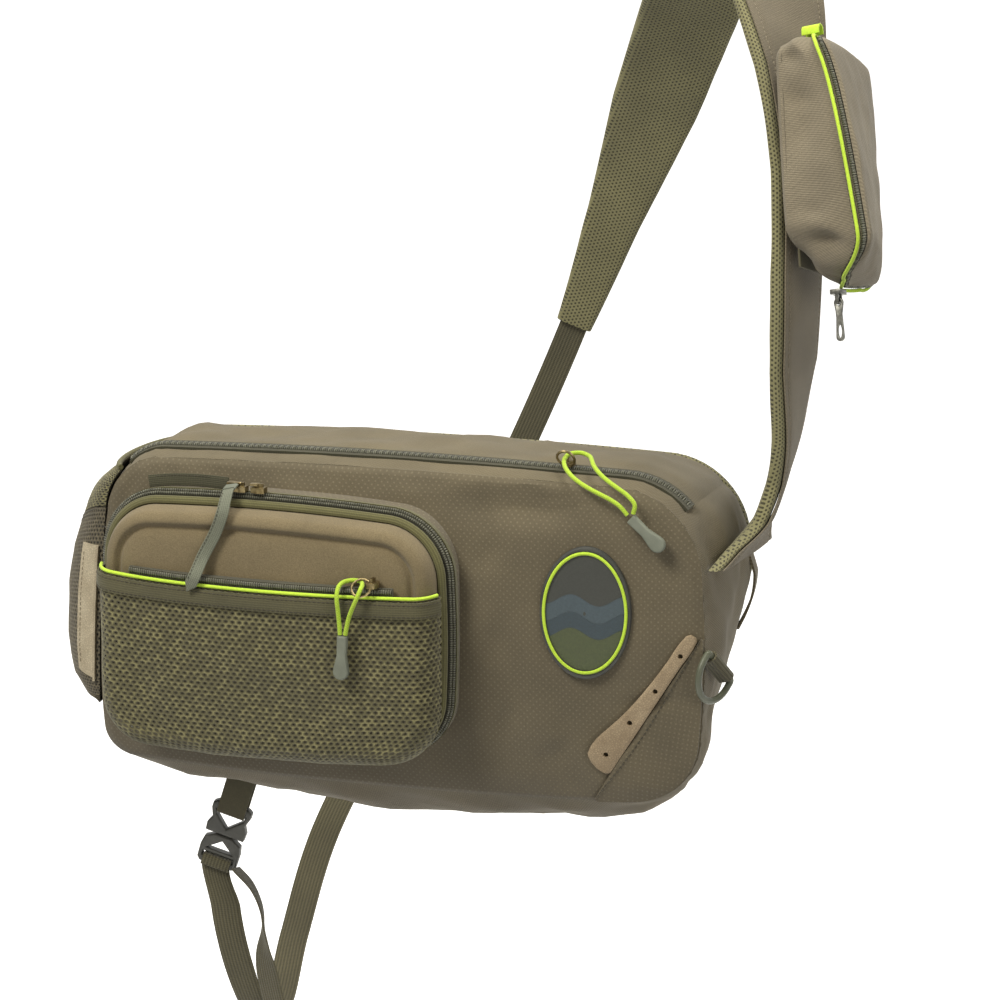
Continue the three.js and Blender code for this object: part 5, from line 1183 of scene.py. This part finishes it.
ribbon("pocket_pull_hanging", HANGING, "ribbon", True)
ribbon("pocket_pull_lying", LYING, "ribbon_olive", False)
for name in ("main_slider", "mesh_slider", "pocket_slider_left", "pocket_slider_right"):
    refined(name, "brass", bevel=0.45)

# Patch: rows are share of the oval and rise, from the foot over the rim to the middle of the field
PATCH = {"x": 112, "z": 22, "half_x": 28.5, "half_z": 41.5}
PATCH_ROWS = [
    (1.0, 0.5), (1.0, 2.2), (0.985, 2.9), (0.96, 3.15), (0.94, 3.15), (0.925, 2.8), (0.9, 2.5),
    (0.86, 2.45), (0.84, 2.5), (0.7, 2.7), (0.5, 2.9), (0.3, 3.0), (0.12, 3.05), (0.03, 3.05),
]
FIELD_ROW = 7
PATCH_RING, PATCH_RING_HALF = (0.9, 3.4), (1.05, 0.75)


def patch():
    angle = full_turn(96)

    def ring(share, rise):
        x = PATCH["x"] + PATCH["half_x"] * share * np.cos(angle)
        z = PATCH["z"] + PATCH["half_z"] * share * np.sin(angle)
        return xyz(x, front_y(x, z) - rise, z)

    points = np.stack([ring(*row) for row in PATCH_ROWS])
    uv = again(flat_uv(points[..., 0] - PATCH["x"], points[..., 2] - PATCH["z"]), 1)
    pile = Pile("rubber", "rim")
    pile.grid(points[FIELD_ROW:], uv[FIELD_ROW:], True)
    pile.grid(points[:FIELD_ROW + 1], uv[:FIELD_ROW + 1], True, look=1)
    pile.cap(points[-1])
    pile.cap(points[0], look=1)
    pile.make("patch")
    rope("patch_ring", "neon", ring(*PATCH_RING), PATCH_RING_HALF, FORWARD, closed=True)


patch()

# Leather strip: rows are place along its straight edge, and from and to inwards of that edge
STRIP_TOP, STRIP_BOTTOM = np.array((180.5, 6.5)), np.array((126.5, -80.6))
STRIP_LIFT, STRIP_THICK, STRIP_CROWN, STRIP_SOFT = 1, 2, 0.4, 0.7
STRIP_ROWS = [
    (-0.016, 2.2, 5.6), (0, 0.6, 7.2), (0.03, 0, 7.9), (0.2, 0, 8.4), (0.4, 0, 9.7), (0.64, 0, 13.2),
    (0.75, 0, 16), (0.86, 0, 18.6), (0.93, 0, 18.6), (0.975, 0, 16.8), (1, 0.4, 13), (1.015, 2, 9),
]
STRIP_HOLES = [(0.126, 3.6), (0.396, 4.5), (0.652, 6.9), (0.904, 8.3)]
DRILL = {"radius": 0.0016, "depth": 0.012, "sides": 20, "at": 3}
TURN_X = Matrix.Rotation(math.pi / 2, 3, "X")


def strip_spot(share, inwards):
    """A point of the strip's plan, from its place along the straight edge and in from that edge."""
    way = unit(STRIP_BOTTOM - STRIP_TOP)
    inward = np.array((way[1], -way[0]))
    share, inwards = np.asarray(share)[..., None], np.asarray(inwards)[..., None]
    return lerp(STRIP_TOP, STRIP_BOTTOM, share) + inward * inwards


def strip_drills():
    """A mesh of round bars where the strip's holes are."""
    drills = bmesh.new()
    for row in STRIP_HOLES:
        x, z = strip_spot(*row)
        place = Vector(to_row((x, float(front_y(x, z)) - DRILL["at"], z)))
        bar = bmesh.ops.create_cone(drills, cap_ends=True, segments=DRILL["sides"], depth=DRILL["depth"],
                                    radius1=DRILL["radius"], radius2=DRILL["radius"])
        bmesh.ops.rotate(drills, verts=bar["verts"], cent=(0, 0, 0), matrix=TURN_X)
        bmesh.ops.translate(drills, verts=bar["verts"], vec=place)
    mesh = bpy.data.meshes.new("strip_holes")
    drills.to_mesh(mesh)
    drills.free()
    return mesh


def leather_strip():
    share = np.linspace(-1, 1, 15)
    at, low, high = np.array(STRIP_ROWS).T
    places = lerp(at[0], at[-1], 0.5 - 0.5 * np.cos(np.linspace(0, np.pi, 110)))[:, None]
    inwards = lerp(eased(places, at, low), eased(places, at, high), (share + 1) / 2)
    flat = strip_spot(places, inwards)
    base = xyz(flat[..., 0], front_y(flat[..., 0], flat[..., 1]), flat[..., 1])
    rise = STRIP_LIFT + STRIP_THICK + STRIP_CROWN - STRIP_SOFT * np.abs(share) ** 6
    outer, inner = base + FORWARD * rise[:, None], base + FORWARD * STRIP_LIFT
    made = sheet("leather_strip", "leather", outer, inner)
    cutter = linked("strip_holes", strip_drills())
    step = made.modifiers.new("holes", "BOOLEAN")
    step.object = cutter
    step.solver = "EXACT"
    bpy.context.view_layer.update()
    cut = bpy.data.meshes.new_from_object(made.evaluated_get(bpy.context.evaluated_depsgraph_get()))
    made.modifiers.clear()
    made.data = cut
    bpy.data.objects.remove(cutter)


leather_strip()

# Left end: mesh pocket and leather tab. Right end: the tape. SIDE_ROWS are height and stand-off
SIDE_FRONT, SIDE_BACK, SIDE_CLEAR = -57, 47, 0.8
SIDE_BOTTOM, SIDE_TOP = -66, 88
SIDE_SEAM, SEAM_GAP = (64, 20), 0.2
SIDE_ROWS = np.array([(-66, 1), (-63, 19), (-53, 30), (-30, 35), (5, 35), (30, 32), (44, 28), (60, 23),
                      (76, 15), (88, 7)])
SEAM_LINES, SEAM_HALF, RIM_HALF = (0.965, 0.988), 0.55, 1.8
TAB = {"y": (-60, -51), "z": (-46, 38), "slant": 6, "slant_to": 0.1, "off": 1.6, "thick": 2, "soft": 0.5,
       "seam": 6}
TAPE = {"y": (40, 54), "z": (-10, 38), "stand": 4, "foot": 1, "thick": 1.6}


def end_x(side, y, z):
    """The outer face of an end; side is -1 for the left one and 1 for the right one."""
    name, edge, low_corner, high_corner = ("left", 3, 3, 2) if side < 0 else ("right", 1, 0, 1)
    below, above = BAG["radii"][low_corner], BAG["radii"][high_corner]
    low = z < MIDDLE[1]
    radius = np.where(low, below, above)
    over = np.where(low, BAG["bottom"] + radius - z, z - BAG["top"] + radius)
    start = BAG["bottom"] + below
    bow = BAG["bows"][edge] * arch(np.clip((z - start) / (BAG["top"] - above - start), 0, 1))
    share = np.clip((y - FRONT_SEAM) / DEPTH, 0, 1)
    rim = BAG[name] + side * (bow - drawn_in(radius, over))
    swell = side * SWELLS[name] * arch(share, SWELL_POWER)
    return rim + swell + left_lean(rim, z) - share * back_lean(rim, z)


def side_x(y, z):
    share = np.clip((y - SIDE_FRONT) / (SIDE_BACK - SIDE_FRONT), 0, 1)
    belly = np.maximum(np.sin(np.pi * share), 0) ** 0.55
    return end_x(-1, y, z) - SIDE_CLEAR - np.interp(z, *SIDE_ROWS.T) * belly


def lower_net(u, v):
    """The net below the seam, which falls from the front to the back."""
    y, z = lerp(SIDE_FRONT, SIDE_BACK, u), lerp(SIDE_BOTTOM, lerp(*SIDE_SEAM, u) - SEAM_GAP, v)
    return xyz(side_x(y, z), y, z)


def upper_net(u, v):
    y, z = lerp(SIDE_FRONT, SIDE_BACK, u), lerp(lerp(*SIDE_SEAM, u) + SEAM_GAP, SIDE_TOP, v)
    return xyz(side_x(y, z), y, z)


def side_pocket():
    pile = Pile("net_fine", "thread_dark", "tape")
    # the tape-coloured layer behind the lower net is painted shade in its holes
    lattice(pile, lower_net, LEFTWARD, (3.3, 2.3), 0.26, 0.25, 121, shade_backing=2)
    u = np.linspace(0.03, 0.97, 90)
    for v in SEAM_LINES:
        path = lower_net(u, np.full_like(u, v)) + LEFTWARD * NET_THICK
        pile.tube(path, SEAM_HALF, LEFTWARD, sides=6, look=1)
    pile.make("side_pocket_lower", sharp=SHARP_NET)
    pile = Pile("net", "tape")
    # the tape-coloured layer behind the upper net is painted shade in its holes
    lattice(pile, upper_net, LEFTWARD, (4.6, 3.1), 0.3, 0.4, 122, shade_backing=1)
    pile.make("side_pocket_upper", sharp=SHARP_NET)

    y = np.linspace(SIDE_FRONT, SIDE_BACK, 80)
    z = np.full_like(y, SIDE_TOP + RIM_HALF + GAP)
    x = np.minimum(side_x(y, np.full_like(y, SIDE_TOP)) - NET_THICK / 2, end_x(-1, y, z) - RIM_HALF - GAP)
    rope("side_pocket_rim", "binding", xyz(x, y, z), RIM_HALF, LEFTWARD)


def leather_tab():
    v = np.linspace(0, 1, 50)[:, None]
    u = np.linspace(0, 1, 9)
    y = lerp(*TAB["y"], u) + 0 * v
    z = lerp(*TAB["z"], v) - TAB["slant"] * (1 - u) * smoothstep(TAB["slant_to"] - v, 0, TAB["slant_to"])
    base = xyz(side_x(np.maximum(y, SIDE_FRONT), z) - NET_THICK - TAB["off"], y, z)
    outer = base + LEFTWARD * (TAB["thick"] - TAB["soft"] * np.abs(2 * u - 1) ** 6)[:, None]
    pile = Pile("leather_pale", "thread")
    pile.wall(outer, base)
    pile.stitches(outer[2:-2, TAB["seam"]], LEFTWARD)
    pile.make("leather_tab")


def end_tape():
    t = np.linspace(0, 1, 40)[:, None]
    y, z = np.linspace(*TAPE["y"], 8), lerp(*TAPE["z"], t)
    base = xyz(end_x(1, y, z) + TAPE["stand"] * np.sin(np.pi * t) + TAPE["foot"], y, z)
    sheet("end_tape", "twill", base - LEFTWARD * TAPE["thick"], base)


side_pocket()
leather_tab()
end_tape()

# Ring at the lower right, and its loop of webbing
RING_AT = np.array((192.6, -56, -10))
RING_BAR = unit(np.array((0.3, 0.65, -0.7)))
RING_WIRE, RING_INSIDE, RING_DROP, RING_STRAIGHT = 2.1, 26.8, 23, 5
LOOP = {"half": 11.5, "inner": 0.45, "outer": 1.85, "legs": (5.2, 0.3), "steps": 6}


def d_ring():
    down = square_to(-UPWARD, RING_BAR)
    half = RING_INSIDE / 2 + RING_WIRE
    angle = np.linspace(0, np.pi, 25)
    bar = [(share * half, 0) for share in np.linspace(-1, 1, 12)]
    drop = RING_DROP - RING_STRAIGHT
    bend = [(half * math.cos(a), RING_STRAIGHT + drop * math.sin(a)) for a in angle]
    path = np.array([RING_AT + RING_BAR * a + down * d for a, d in bar + bend])
    for _ in range(2):
        ahead = np.roll(path, -1, 0)
        path = np.stack([0.75 * path + 0.25 * ahead, 0.25 * path + 0.75 * ahead], 1).reshape(-1, 3)
    face = np.cross(RING_BAR, down)
    rope("d_ring", "ring", path, RING_WIRE, face, closed=True, sides=16, body="d_ring")

    inwards = square_to(LEFTWARD, RING_BAR)
    across = np.cross(RING_BAR, inwards)
    legs = np.linspace(*LOOP["legs"], LOOP["steps"])
    turn = np.linspace(0, np.pi, 21)
    place = np.linspace(-LOOP["half"], LOOP["half"], 13)[:, None, None]

    def layer(radius):
        deep = np.concatenate([legs, -radius * np.sin(turn), legs[::-1]])[:, None]
        high = radius * np.concatenate([np.ones(len(legs)), np.cos(turn), -np.ones(len(legs))])[:, None]
        return RING_AT + deep * inwards + high * across + place * RING_BAR

    outer, inner = layer(RING_WIRE + LOOP["outer"]), layer(RING_WIRE + LOOP["inner"])
    sheet("d_ring_loop", "webbing", outer, inner, grid_uv(outer)[..., ::-1])


d_ring()

# Strap: rows are x, y, z, yaw, lift, width and level
STRAP_ROUTE = np.array([
    (190.7, -5, 50, -3, 0, 106, 1), (193.4, 5, 58, 0, 0, 84, 1), (199, 22, 70, 9, 0, 60, 1),
    (205, 30, 92, 10, 0, 58, 1), (210, 33, 120, 5, 0, 66, 0.6), (214, 30, 165, -5, 0, 70, 0.2),
    (214, 35, 220, -7, 3, 70, 0), (210, 48, 280, -6, 9, 70, 0), (200, 69, 340, -16, 20, 70, 0),
    (181, 101, 394, -38, 46, 70, 0), (150, 150, 424, -58, 88, 70, 0), (116, 206, 412, 116, 52, 70, 0),
    (84, 258, 362, 112, 24, 68, 0), (50, 292, 292, 106, 12, 60, 0), (16, 314, 214, 103, 6, 40, 0),
    (-18, 328, 132, 101, 4, 26, 0), (-62, 333, 34, 106, 0, 20, 0), (-110, 320, -68, 116, -6, 20, 0),
    (-148, 278, -158, 124, -16, 20, 0), (-166, 205, -226, 120, -38, 20, 0),
    (-160, 128, -276, 105, -58, 20, 0), (-148, 60, -306, 95, -82, 20, 0),
    (-147, 24, -296, -88, -42, 20, 0), (-155, 12, -262, -84, -6, 20, 0),
    (-163, 10, -222, -82, 0, 20, 0), (-163.5, 10, -195.4, -82, 0, 20, 0),
])
STRAP_ROWS = np.arange(len(STRAP_ROUTE))
PAD_END, PAD_STEPS, FACE_STEPS = 15, 260, 252
PAD_THICK, PAD_ROUND, FACE_THICK, FACE_CLEAR = 10, 3, 1.6, 0.35
PAD_POWERS, FACE_SEAMS = (0.28, 0.62), (2, 22)
WEBBING = {"half": 10, "thick": 1.7, "from": 0.006, "turn": 26, "columns": 13}
LOCK_AT = np.array((-163.0, 10, -170))
LOCK_TURN = Matrix.Rotation(math.radians(18), 3, "Y") @ Matrix.Rotation(math.radians(8), 3, "Z")
LOCK_AXES = np.array(LOCK_TURN.transposed())
LOCK_BAR = {"low": -22, "high": -17.4, "deep": 3.5, "half": 9.6, "under": 1.4, "power": 0.35,
            "wrap": (0.3, 1.7)}


def strap_frames(places):
    """Middle, sideways and outward directions, and width at places along the route."""
    route, yaw, lift = STRAP_ROUTE[:, :3], np.radians(STRAP_ROUTE[:, 3]), np.radians(STRAP_ROUTE[:, 4])
    outs = xyz(np.cos(lift) * np.cos(yaw), np.cos(lift) * np.sin(yaw), np.sin(lift))
    places = np.asarray(places, dtype=float)
    step = 1e-3
    ahead, behind = np.minimum(places + step, STRAP_ROWS[-1]), np.maximum(places - step, 0)
    along = unit(catmull(route, ahead) - catmull(route, behind))
    width, level = sampled(places, STRAP_ROWS, STRAP_ROUTE[:, 5:]).T
    along = unit(lerp(along, UPWARD, level[:, None]))
    out = square_to(sampled(places, STRAP_ROWS, outs), along)
    return catmull(route, places), np.cross(along, out), out, width


def from_lock(points):
    """Points of the buckle's own frame."""
    return LOCK_AT + np.asarray(points, dtype=float) @ LOCK_AXES


def strap_pad(at, side, out, width):
    angle = full_turn(56) + 0.01
    across, outwards = boxy(np.cos(angle), PAD_POWERS[0]), boxy(np.sin(angle), PAD_POWERS[1])
    half = (width / 2)[:, None] * across
    rise = out[:, None] * (PAD_THICK / 2 * outwards)[:, None]
    rings = at[:, None] + side[:, None] * half[..., None] + rise
    normal = normals(rings, rings - at[:, None], True)
    rings = rings + normal * (uneven(rings, (0.5, 131, 40)) * -np.minimum(outwards, 0))[..., None]
    uv = flat_uv(again(half, 1) + again(outwards) * (PAD_THICK / 2), lengths(at)[:, None])
    pile = Pile("spacer")
    pile.grid(rings, uv, True)
    pile.cap(rings[0])
    pile.cap(rings[-1])
    pile.make("strap_pad")


def strap_face(at, side, out, width):
    share = np.linspace(-1, 1, 25)
    across = (width / 2 - PAD_ROUND)[:, None] * share
    low = PAD_THICK / 2 + FACE_CLEAR
    base = at[:, None] + side[:, None] * across[..., None]
    crown = 1.1 * (1 - share ** 2) - 0.7 * bump(np.abs(share), 0.86, 0.05) - 0.8 * np.abs(share) ** 14
    soft = uneven(base, (0.5, 141, 46)) * (1 - share ** 2)
    top = base + out[:, None] * (low + FACE_THICK + crown + soft)[..., None]
    pile = Pile("strap", "thread")
    pile.wall(top, base + out[:, None] * low, flat_uv(across, lengths(at)[:, None]))
    for column in FACE_SEAMS:
        pile.stitches(top[:, column], out, pitch=3.6, length=2.6)
    pile.make("strap_face")


def strap_webbing():
    """The webbing, with its end turned to the ladder lock's bar and wrapped round it."""
    at, side, out, _ = strap_frames(np.linspace(PAD_END + WEBBING["from"], STRAP_ROWS[-1], 240))
    end = lengths(at[::-1])[::-1]
    turn = smoothstep(WEBBING["turn"] - end, 0, WEBBING["turn"])[:, None]
    at = at + turn * (from_lock((0, 0, LOCK_BAR["low"] - LOCK_BAR["under"])) - at[-1])
    side = unit(lerp(side, np.sign(side[-1] @ LOCK_AXES[0]) * LOCK_AXES[0], turn))
    out = facing(np.cross(side, tangents(at)), out)
    pile = Pile("webbing")
    flat_sweep(pile, at, side, out, WEBBING["half"], WEBBING["thick"], columns=WEBBING["columns"])
    angle = full_turn(40)
    middle, half = (LOCK_BAR["low"] + LOCK_BAR["high"]) / 2, (LOCK_BAR["high"] - LOCK_BAR["low"]) / 2
    x = np.linspace(-LOCK_BAR["half"], LOCK_BAR["half"], WEBBING["columns"])[:, None]

    def loop(grow):
        y = (LOCK_BAR["deep"] + grow) * boxy(np.cos(angle), LOCK_BAR["power"])
        z = middle + (half + grow) * boxy(np.sin(angle), LOCK_BAR["power"])
        return from_lock(xyz(x, y, z))

    inner, outer = (loop(grow) for grow in LOCK_BAR["wrap"])
    pile.wall(outer, inner, flat_uv(lengths(again(outer[0])), x), closed=True)
    pile.make("strap_webbing")


TAIL = [(-153.5, 4.4, -190.6), (-141.4, 3, -202), (-134.6, 2, -216), (-133, 2, -232), (-133, 3, -250),
        (-130, 5, -272), (-124, 8, -300)]
TAIL_SIDES = np.array(((0.35, -0.94, 0), (0.93, -0.36, 0)))
TAIL_TURN, TAIL_STEPS = (0.4, 0.8), 60
HEM = {"row": 50, "rows": slice(48, 51), "half": 9}


def webbing_tail():
    path = along_rows(TAIL, TAIL_STEPS)
    along = unit(tangents(path))
    turn = smoothstep(np.linspace(0, 1, TAIL_STEPS), *TAIL_TURN)[:, None]
    side = square_to(lerp(*TAIL_SIDES, turn), along)
    out = np.cross(side, along)
    pile = Pile("webbing", "thread_dark")
    flat_sweep(pile, path, side, out, WEBBING["half"], WEBBING["thick"], columns=WEBBING["columns"])
    across, up = side[HEM["row"]], out[HEM["row"]]
    hem = path[HEM["rows"]].mean(0) + across * np.linspace(-HEM["half"], HEM["half"], 20)[:, None]
    pile.stitches(hem + up * (WEBBING["thick"] / 2), up, pitch=2.6, length=1.8)
    pile.make("webbing_tail")


pad_frames = strap_frames(np.linspace(0, PAD_END, PAD_STEPS))
strap_pad(*pad_frames)
strap_face(*(values[:FACE_STEPS] for values in pad_frames))
strap_webbing()
webbing_tail()
refined("buckle_socket", "plastic", bevel=0.7, segments=3)
refined("buckle_plug", "plastic", bevel=0.7, segments=3)
refined("buckle_tab", "webbing", bevel=0.3)

# Pouch on the strap
POUCH = {"left": -40, "right": 40, "bottom": -82, "top": 66, "radii": (22, 6, 12, 24),
         "bows": (2, 1, 1, 1), "rise": (0, -7)}
POUCH_SEAT = {"row": 7.5, "shift": -4, "up": -22.6, "clear": 2.1, "keeper": 1.8, "gap": 0.4}
POUCH_ZIP, LID_THICK, LID_CROWN, POUCH_WALL = 3.2, 3, 2.5, 2
POUCH_DEPTHS = {"top": 22, "foot": 54.5, "far": 21, "toe": 18, "power": 0.42, "round": 22,
                "round_from": -62}
FOOT_RISE = {"height": 18, "from": 30, "to": 84}
POUCH_ROWS, SEAM_ROW, RIM_ROWS = 26, 2, 12
POUCH_COIL, POUCH_PIPING, POUCH_PIPING_HALF = (1.5, 1.2, 1.8), (-2.2, -1.6), 1.15

# Creases of the pouch's near side: height and share of the depth, from and to, half width and depth
NEAR_CREASES = [(-68, 0.3, -62, 0.78, 9, 8.0), (-46, 0.1, -40, 0.5, 6, 2.0),
                (-40, 0.35, 34, 0.22, 6, 3.0), (-10, 0.6, 44, 0.4, 6, 2.4),
                (52, 0.05, 57, 0.6, 6, 5.5), (24, 0.15, 34, 0.5, 7, 3.6)]
NEAR_SCALE = np.array((1, 20, 1, 20, 1, 1))


def pouch_frame():
    at, side, out, _ = (value[0] for value in strap_frames([POUCH_SEAT["row"]]))
    up = np.cross(out, side)
    stand = PAD_THICK / 2 + GAP + FACE_THICK
    stand = stand + POUCH_SEAT["clear"] + POUCH_SEAT["keeper"] + POUCH_SEAT["gap"]
    origin = at + out * stand + side * POUCH_SEAT["shift"] + up * POUCH_SEAT["up"]
    return origin, np.stack([side, -out, up])


POUCH_AT, POUCH_AXES = pouch_frame()


def from_pouch(points):
    return POUCH_AT + np.asarray(points, dtype=float) @ POUCH_AXES


def pouch_depth(x, z):
    """How far the pouch's side stands off; it is deepest near its foot, on the near side."""
    depths = POUCH_DEPTHS
    low = np.clip((depths["round_from"] - z) / depths["round"], 0, 1)
    across = np.clip((x - POUCH["left"]) / (POUCH["right"] - POUCH["left"]), 0, 1)
    below = np.clip(1 - (z - POUCH["bottom"]) / (POUCH["top"] - POUCH["bottom"]), 0, 1) ** depths["power"]
    straight = lerp(lerp(depths["top"], depths["foot"], below), depths["far"], across)
    return lerp(np.minimum(depths["toe"], straight), straight, np.sqrt(1 - low ** 2))


def pouch_line(inset=0.0):
    return outline(POUCH, inset, 26, 12)


POUCH_EDGE = pouch_line()
POUCH_OUT = outward(POUCH_EDGE)
EDGE_DEPTH = pouch_depth(POUCH_EDGE[:, 0], POUCH_EDGE[:, 1])


def pouch_rim(inset, extra):
    """A ring beside the pouch's edge, as deep as the edge and extra."""
    line = pouch_line(inset)
    return xyz(line[:, 0], -(EDGE_DEPTH + extra), line[:, 1])


def pouch_ring(inset, extra, share=1):
    """A ring as deep as its own place asks, times share, and extra."""
    line = pouch_line(inset)
    return xyz(line[:, 0], -(share * pouch_depth(line[:, 0], line[:, 1]) + extra), line[:, 1])


def foot_raised(ring, part=1):
    """A ring of the pouch's back with its foot sloped up towards the strap."""
    rise = part * FOOT_RISE["height"] * smoothstep(-ring[:, 2], FOOT_RISE["from"], FOOT_RISE["to"])
    return ring + UPWARD * rise[:, None]


def rows_between(rings, steps):
    """More rings, on smooth curves through the given ones."""
    count, columns = rings.shape[:2]
    places = np.linspace(0, count - 1, steps)
    return np.stack([catmull(rings[:, column], places) for column in range(columns)], 1)


def pouch_back():
    sides = np.stack([
        pouch_rim(0, 0),
        foot_raised(pouch_ring(-1.5, 0, 0.55), 0.45),
        foot_raised(pouch_ring(0, 3, 0)),
    ])
    floor = np.stack([foot_raised(pouch_ring(inset, 0, 0)) for inset in (3, 18)])
    outer = np.concatenate([rows_between(sides, POUCH_ROWS), floor])
    depth_share = np.clip(-outer[..., 1] / np.maximum(EDGE_DEPTH, 1), 0, 1)
    inside = np.sin(np.pi * depth_share) * (np.arange(len(outer)) < POUCH_ROWS)[:, None]
    near = smoothstep(-outer[..., 0], 20, 39)
    dent = crease(outer[..., 2], depth_share * NEAR_SCALE[1], np.array(NEAR_CREASES) * NEAR_SCALE)
    move = inside * uneven(outer, (0.9, 151, 38), (0.4, 152, 16)) - near * inside * dent
    outer = outer + POUCH_OUT * move[..., None]
    inner = outer - POUCH_OUT * POUCH_WALL
    inner[POUCH_ROWS - 1:] = outer[POUCH_ROWS - 1:] + FORWARD * POUCH_WALL
    pile = Pile("pouch", "thread_dark")
    pile.wall(from_pouch(outer), from_pouch(inner), closed=True)
    pile.cap(from_pouch(outer[-1]))
    seam = again(from_pouch(outer[SEAM_ROW] + POUCH_OUT * 0.1))
    pile.stitches(seam, again(POUCH_OUT) @ POUCH_AXES, radius=0.5, lift=0.3)
    pile.make("pouch_back")


def pouch_zip():
    pile = Pile("tape", "coil")
    depths = (GAP, POUCH_ZIP - GAP / 2)
    insets = (0.2, POUCH_WALL)
    outer, inner = (np.stack([pouch_rim(inset, depth) for depth in depths]) for inset in insets)
    pile.wall(from_pouch(outer), from_pouch(inner), closed=True)
    middle = from_pouch(pouch_rim(0.3, POUCH_ZIP / 2))
    coil(pile, middle, POUCH_OUT @ POUCH_AXES, POUCH_AXES[1], *POUCH_COIL, closed=True)
    pile.make("pouch_zip")


def pouch_front():
    start = POUCH_ZIP + GAP
    outer = rows_between(np.stack([
        pouch_rim(0, start),
        pouch_rim(0.6, start + LID_THICK * 0.7),
        pouch_ring(4, start + LID_THICK),
        pouch_ring(20, start + LID_THICK + LID_CROWN * 0.7),
    ]), 30)
    top = FORWARD * (pouch_depth(0, 0) + start + LID_THICK + LID_CROWN)
    inwards = np.stack([lerp(outer[-1], top, share) for share in np.linspace(0.12, 0.95, 10)])
    outer = np.concatenate([outer, inwards])
    soft = uneven(outer, (0.6, 161, 40), (0.25, 162, 15))
    outer[..., 1] -= soft * smoothstep(np.arange(len(outer)), 4, 14)[:, None]
    inner = outer - FORWARD * POUCH_WALL
    inner[:RIM_ROWS] = outer[:RIM_ROWS] - POUCH_OUT * POUCH_WALL
    pile = Pile("pouch")
    pile.wall(from_pouch(outer), from_pouch(inner), again(outer[..., [0, 2]], 1), closed=True)
    pile.cap(from_pouch(outer[-1]))
    pile.make("pouch_front")


pouch_back()
pouch_zip()
pouch_front()
rope("pouch_piping", "neon", from_pouch(pouch_rim(*POUCH_PIPING)), POUCH_PIPING_HALF,
     POUCH_OUT @ POUCH_AXES, closed=True)
refined("pouch_tab", "neon", bevel=0.3)
refined("pouch_keeper", "webbing", bevel=1.2, segments=3)
refined("pouch_slider", "steel", bevel=0.35)
refined("pouch_pull", "steel", body="pouch_pull", bevel=0.35)

# Stage and light, in metres and watts: rows of lights are name, place, aim, size and power
STAGE = {"floor": -1.25, "near": -7, "far": 6.0, "bend": 2, "top": 9, "half": 12, "glow": 0.85}
STAGE_COLOURS = (0.86, 0.86, 0.86, 1), (0.9, 0.9, 0.9, 1)
WARM, WORLD_STRENGTH = (1.0, 0.96, 0.86), 0.3
LIGHTS = [
    ("key", (-1.7, -2.7, 3.0), (-0.15, -0.2, -0.35), 1.8, 160),
    ("fill", (2.8, -2.4, 0.6), (-0.1, -0.2, -0.35), 2.2, 30),
    ("top", (0.4, 0.4, 2.8), (-0.1, -0.1, -0.3), 1.8, 75),
]


def stage():
    pale = Shader("stage", 0.9)
    pale.shader.inputs["Emission Color"].default_value = (1, 1, 1, 1)
    pale.shader.inputs["Emission Strength"].default_value = STAGE["glow"]
    pale.finish(pale.mix(0.5, *STAGE_COLOURS))
    low, far, bend = STAGE["floor"], STAGE["far"], STAGE["bend"]
    quarter = np.linspace(0, math.pi / 2, 12)
    curve = [(far + bend * math.sin(a), low + bend - bend * math.cos(a)) for a in quarter]
    profile = [(STAGE["near"], low), *curve, (far + bend, STAGE["top"])]
    points = [(x, y, z) for y, z in profile for x in (-STAGE["half"], STAGE["half"])]
    faces = [(2 * i, 2 * i + 1, 2 * i + 3, 2 * i + 2) for i in range(len(profile) - 1)]
    mesh = bpy.data.meshes.new("floor")
    mesh.from_pydata(points, [], faces)
    mesh.shade_smooth()
    mesh.materials.append(pale.material)
    floor = linked("floor", mesh)
    floor.visible_diffuse = False


def light(name, place, aim, size, power):
    data = bpy.data.lights.new(name, "AREA")
    data.shape = "DISK"
    data.size = size
    data.energy = power
    data.color = WARM
    aimed(name, data, place, Vector(aim) - Vector(place))


stage()
for row in LIGHTS:
    light(*row)
world = bpy.data.worlds.new("studio")
world.use_nodes = True
world.node_tree.nodes["Background"].inputs["Color"].default_value = (*WARM, 1)
world.node_tree.nodes["Background"].inputs["Strength"].default_value = WORLD_STRENGTH
bpy.context.scene.world = world
bpy.context.scene.view_settings.view_transform = "Standard"
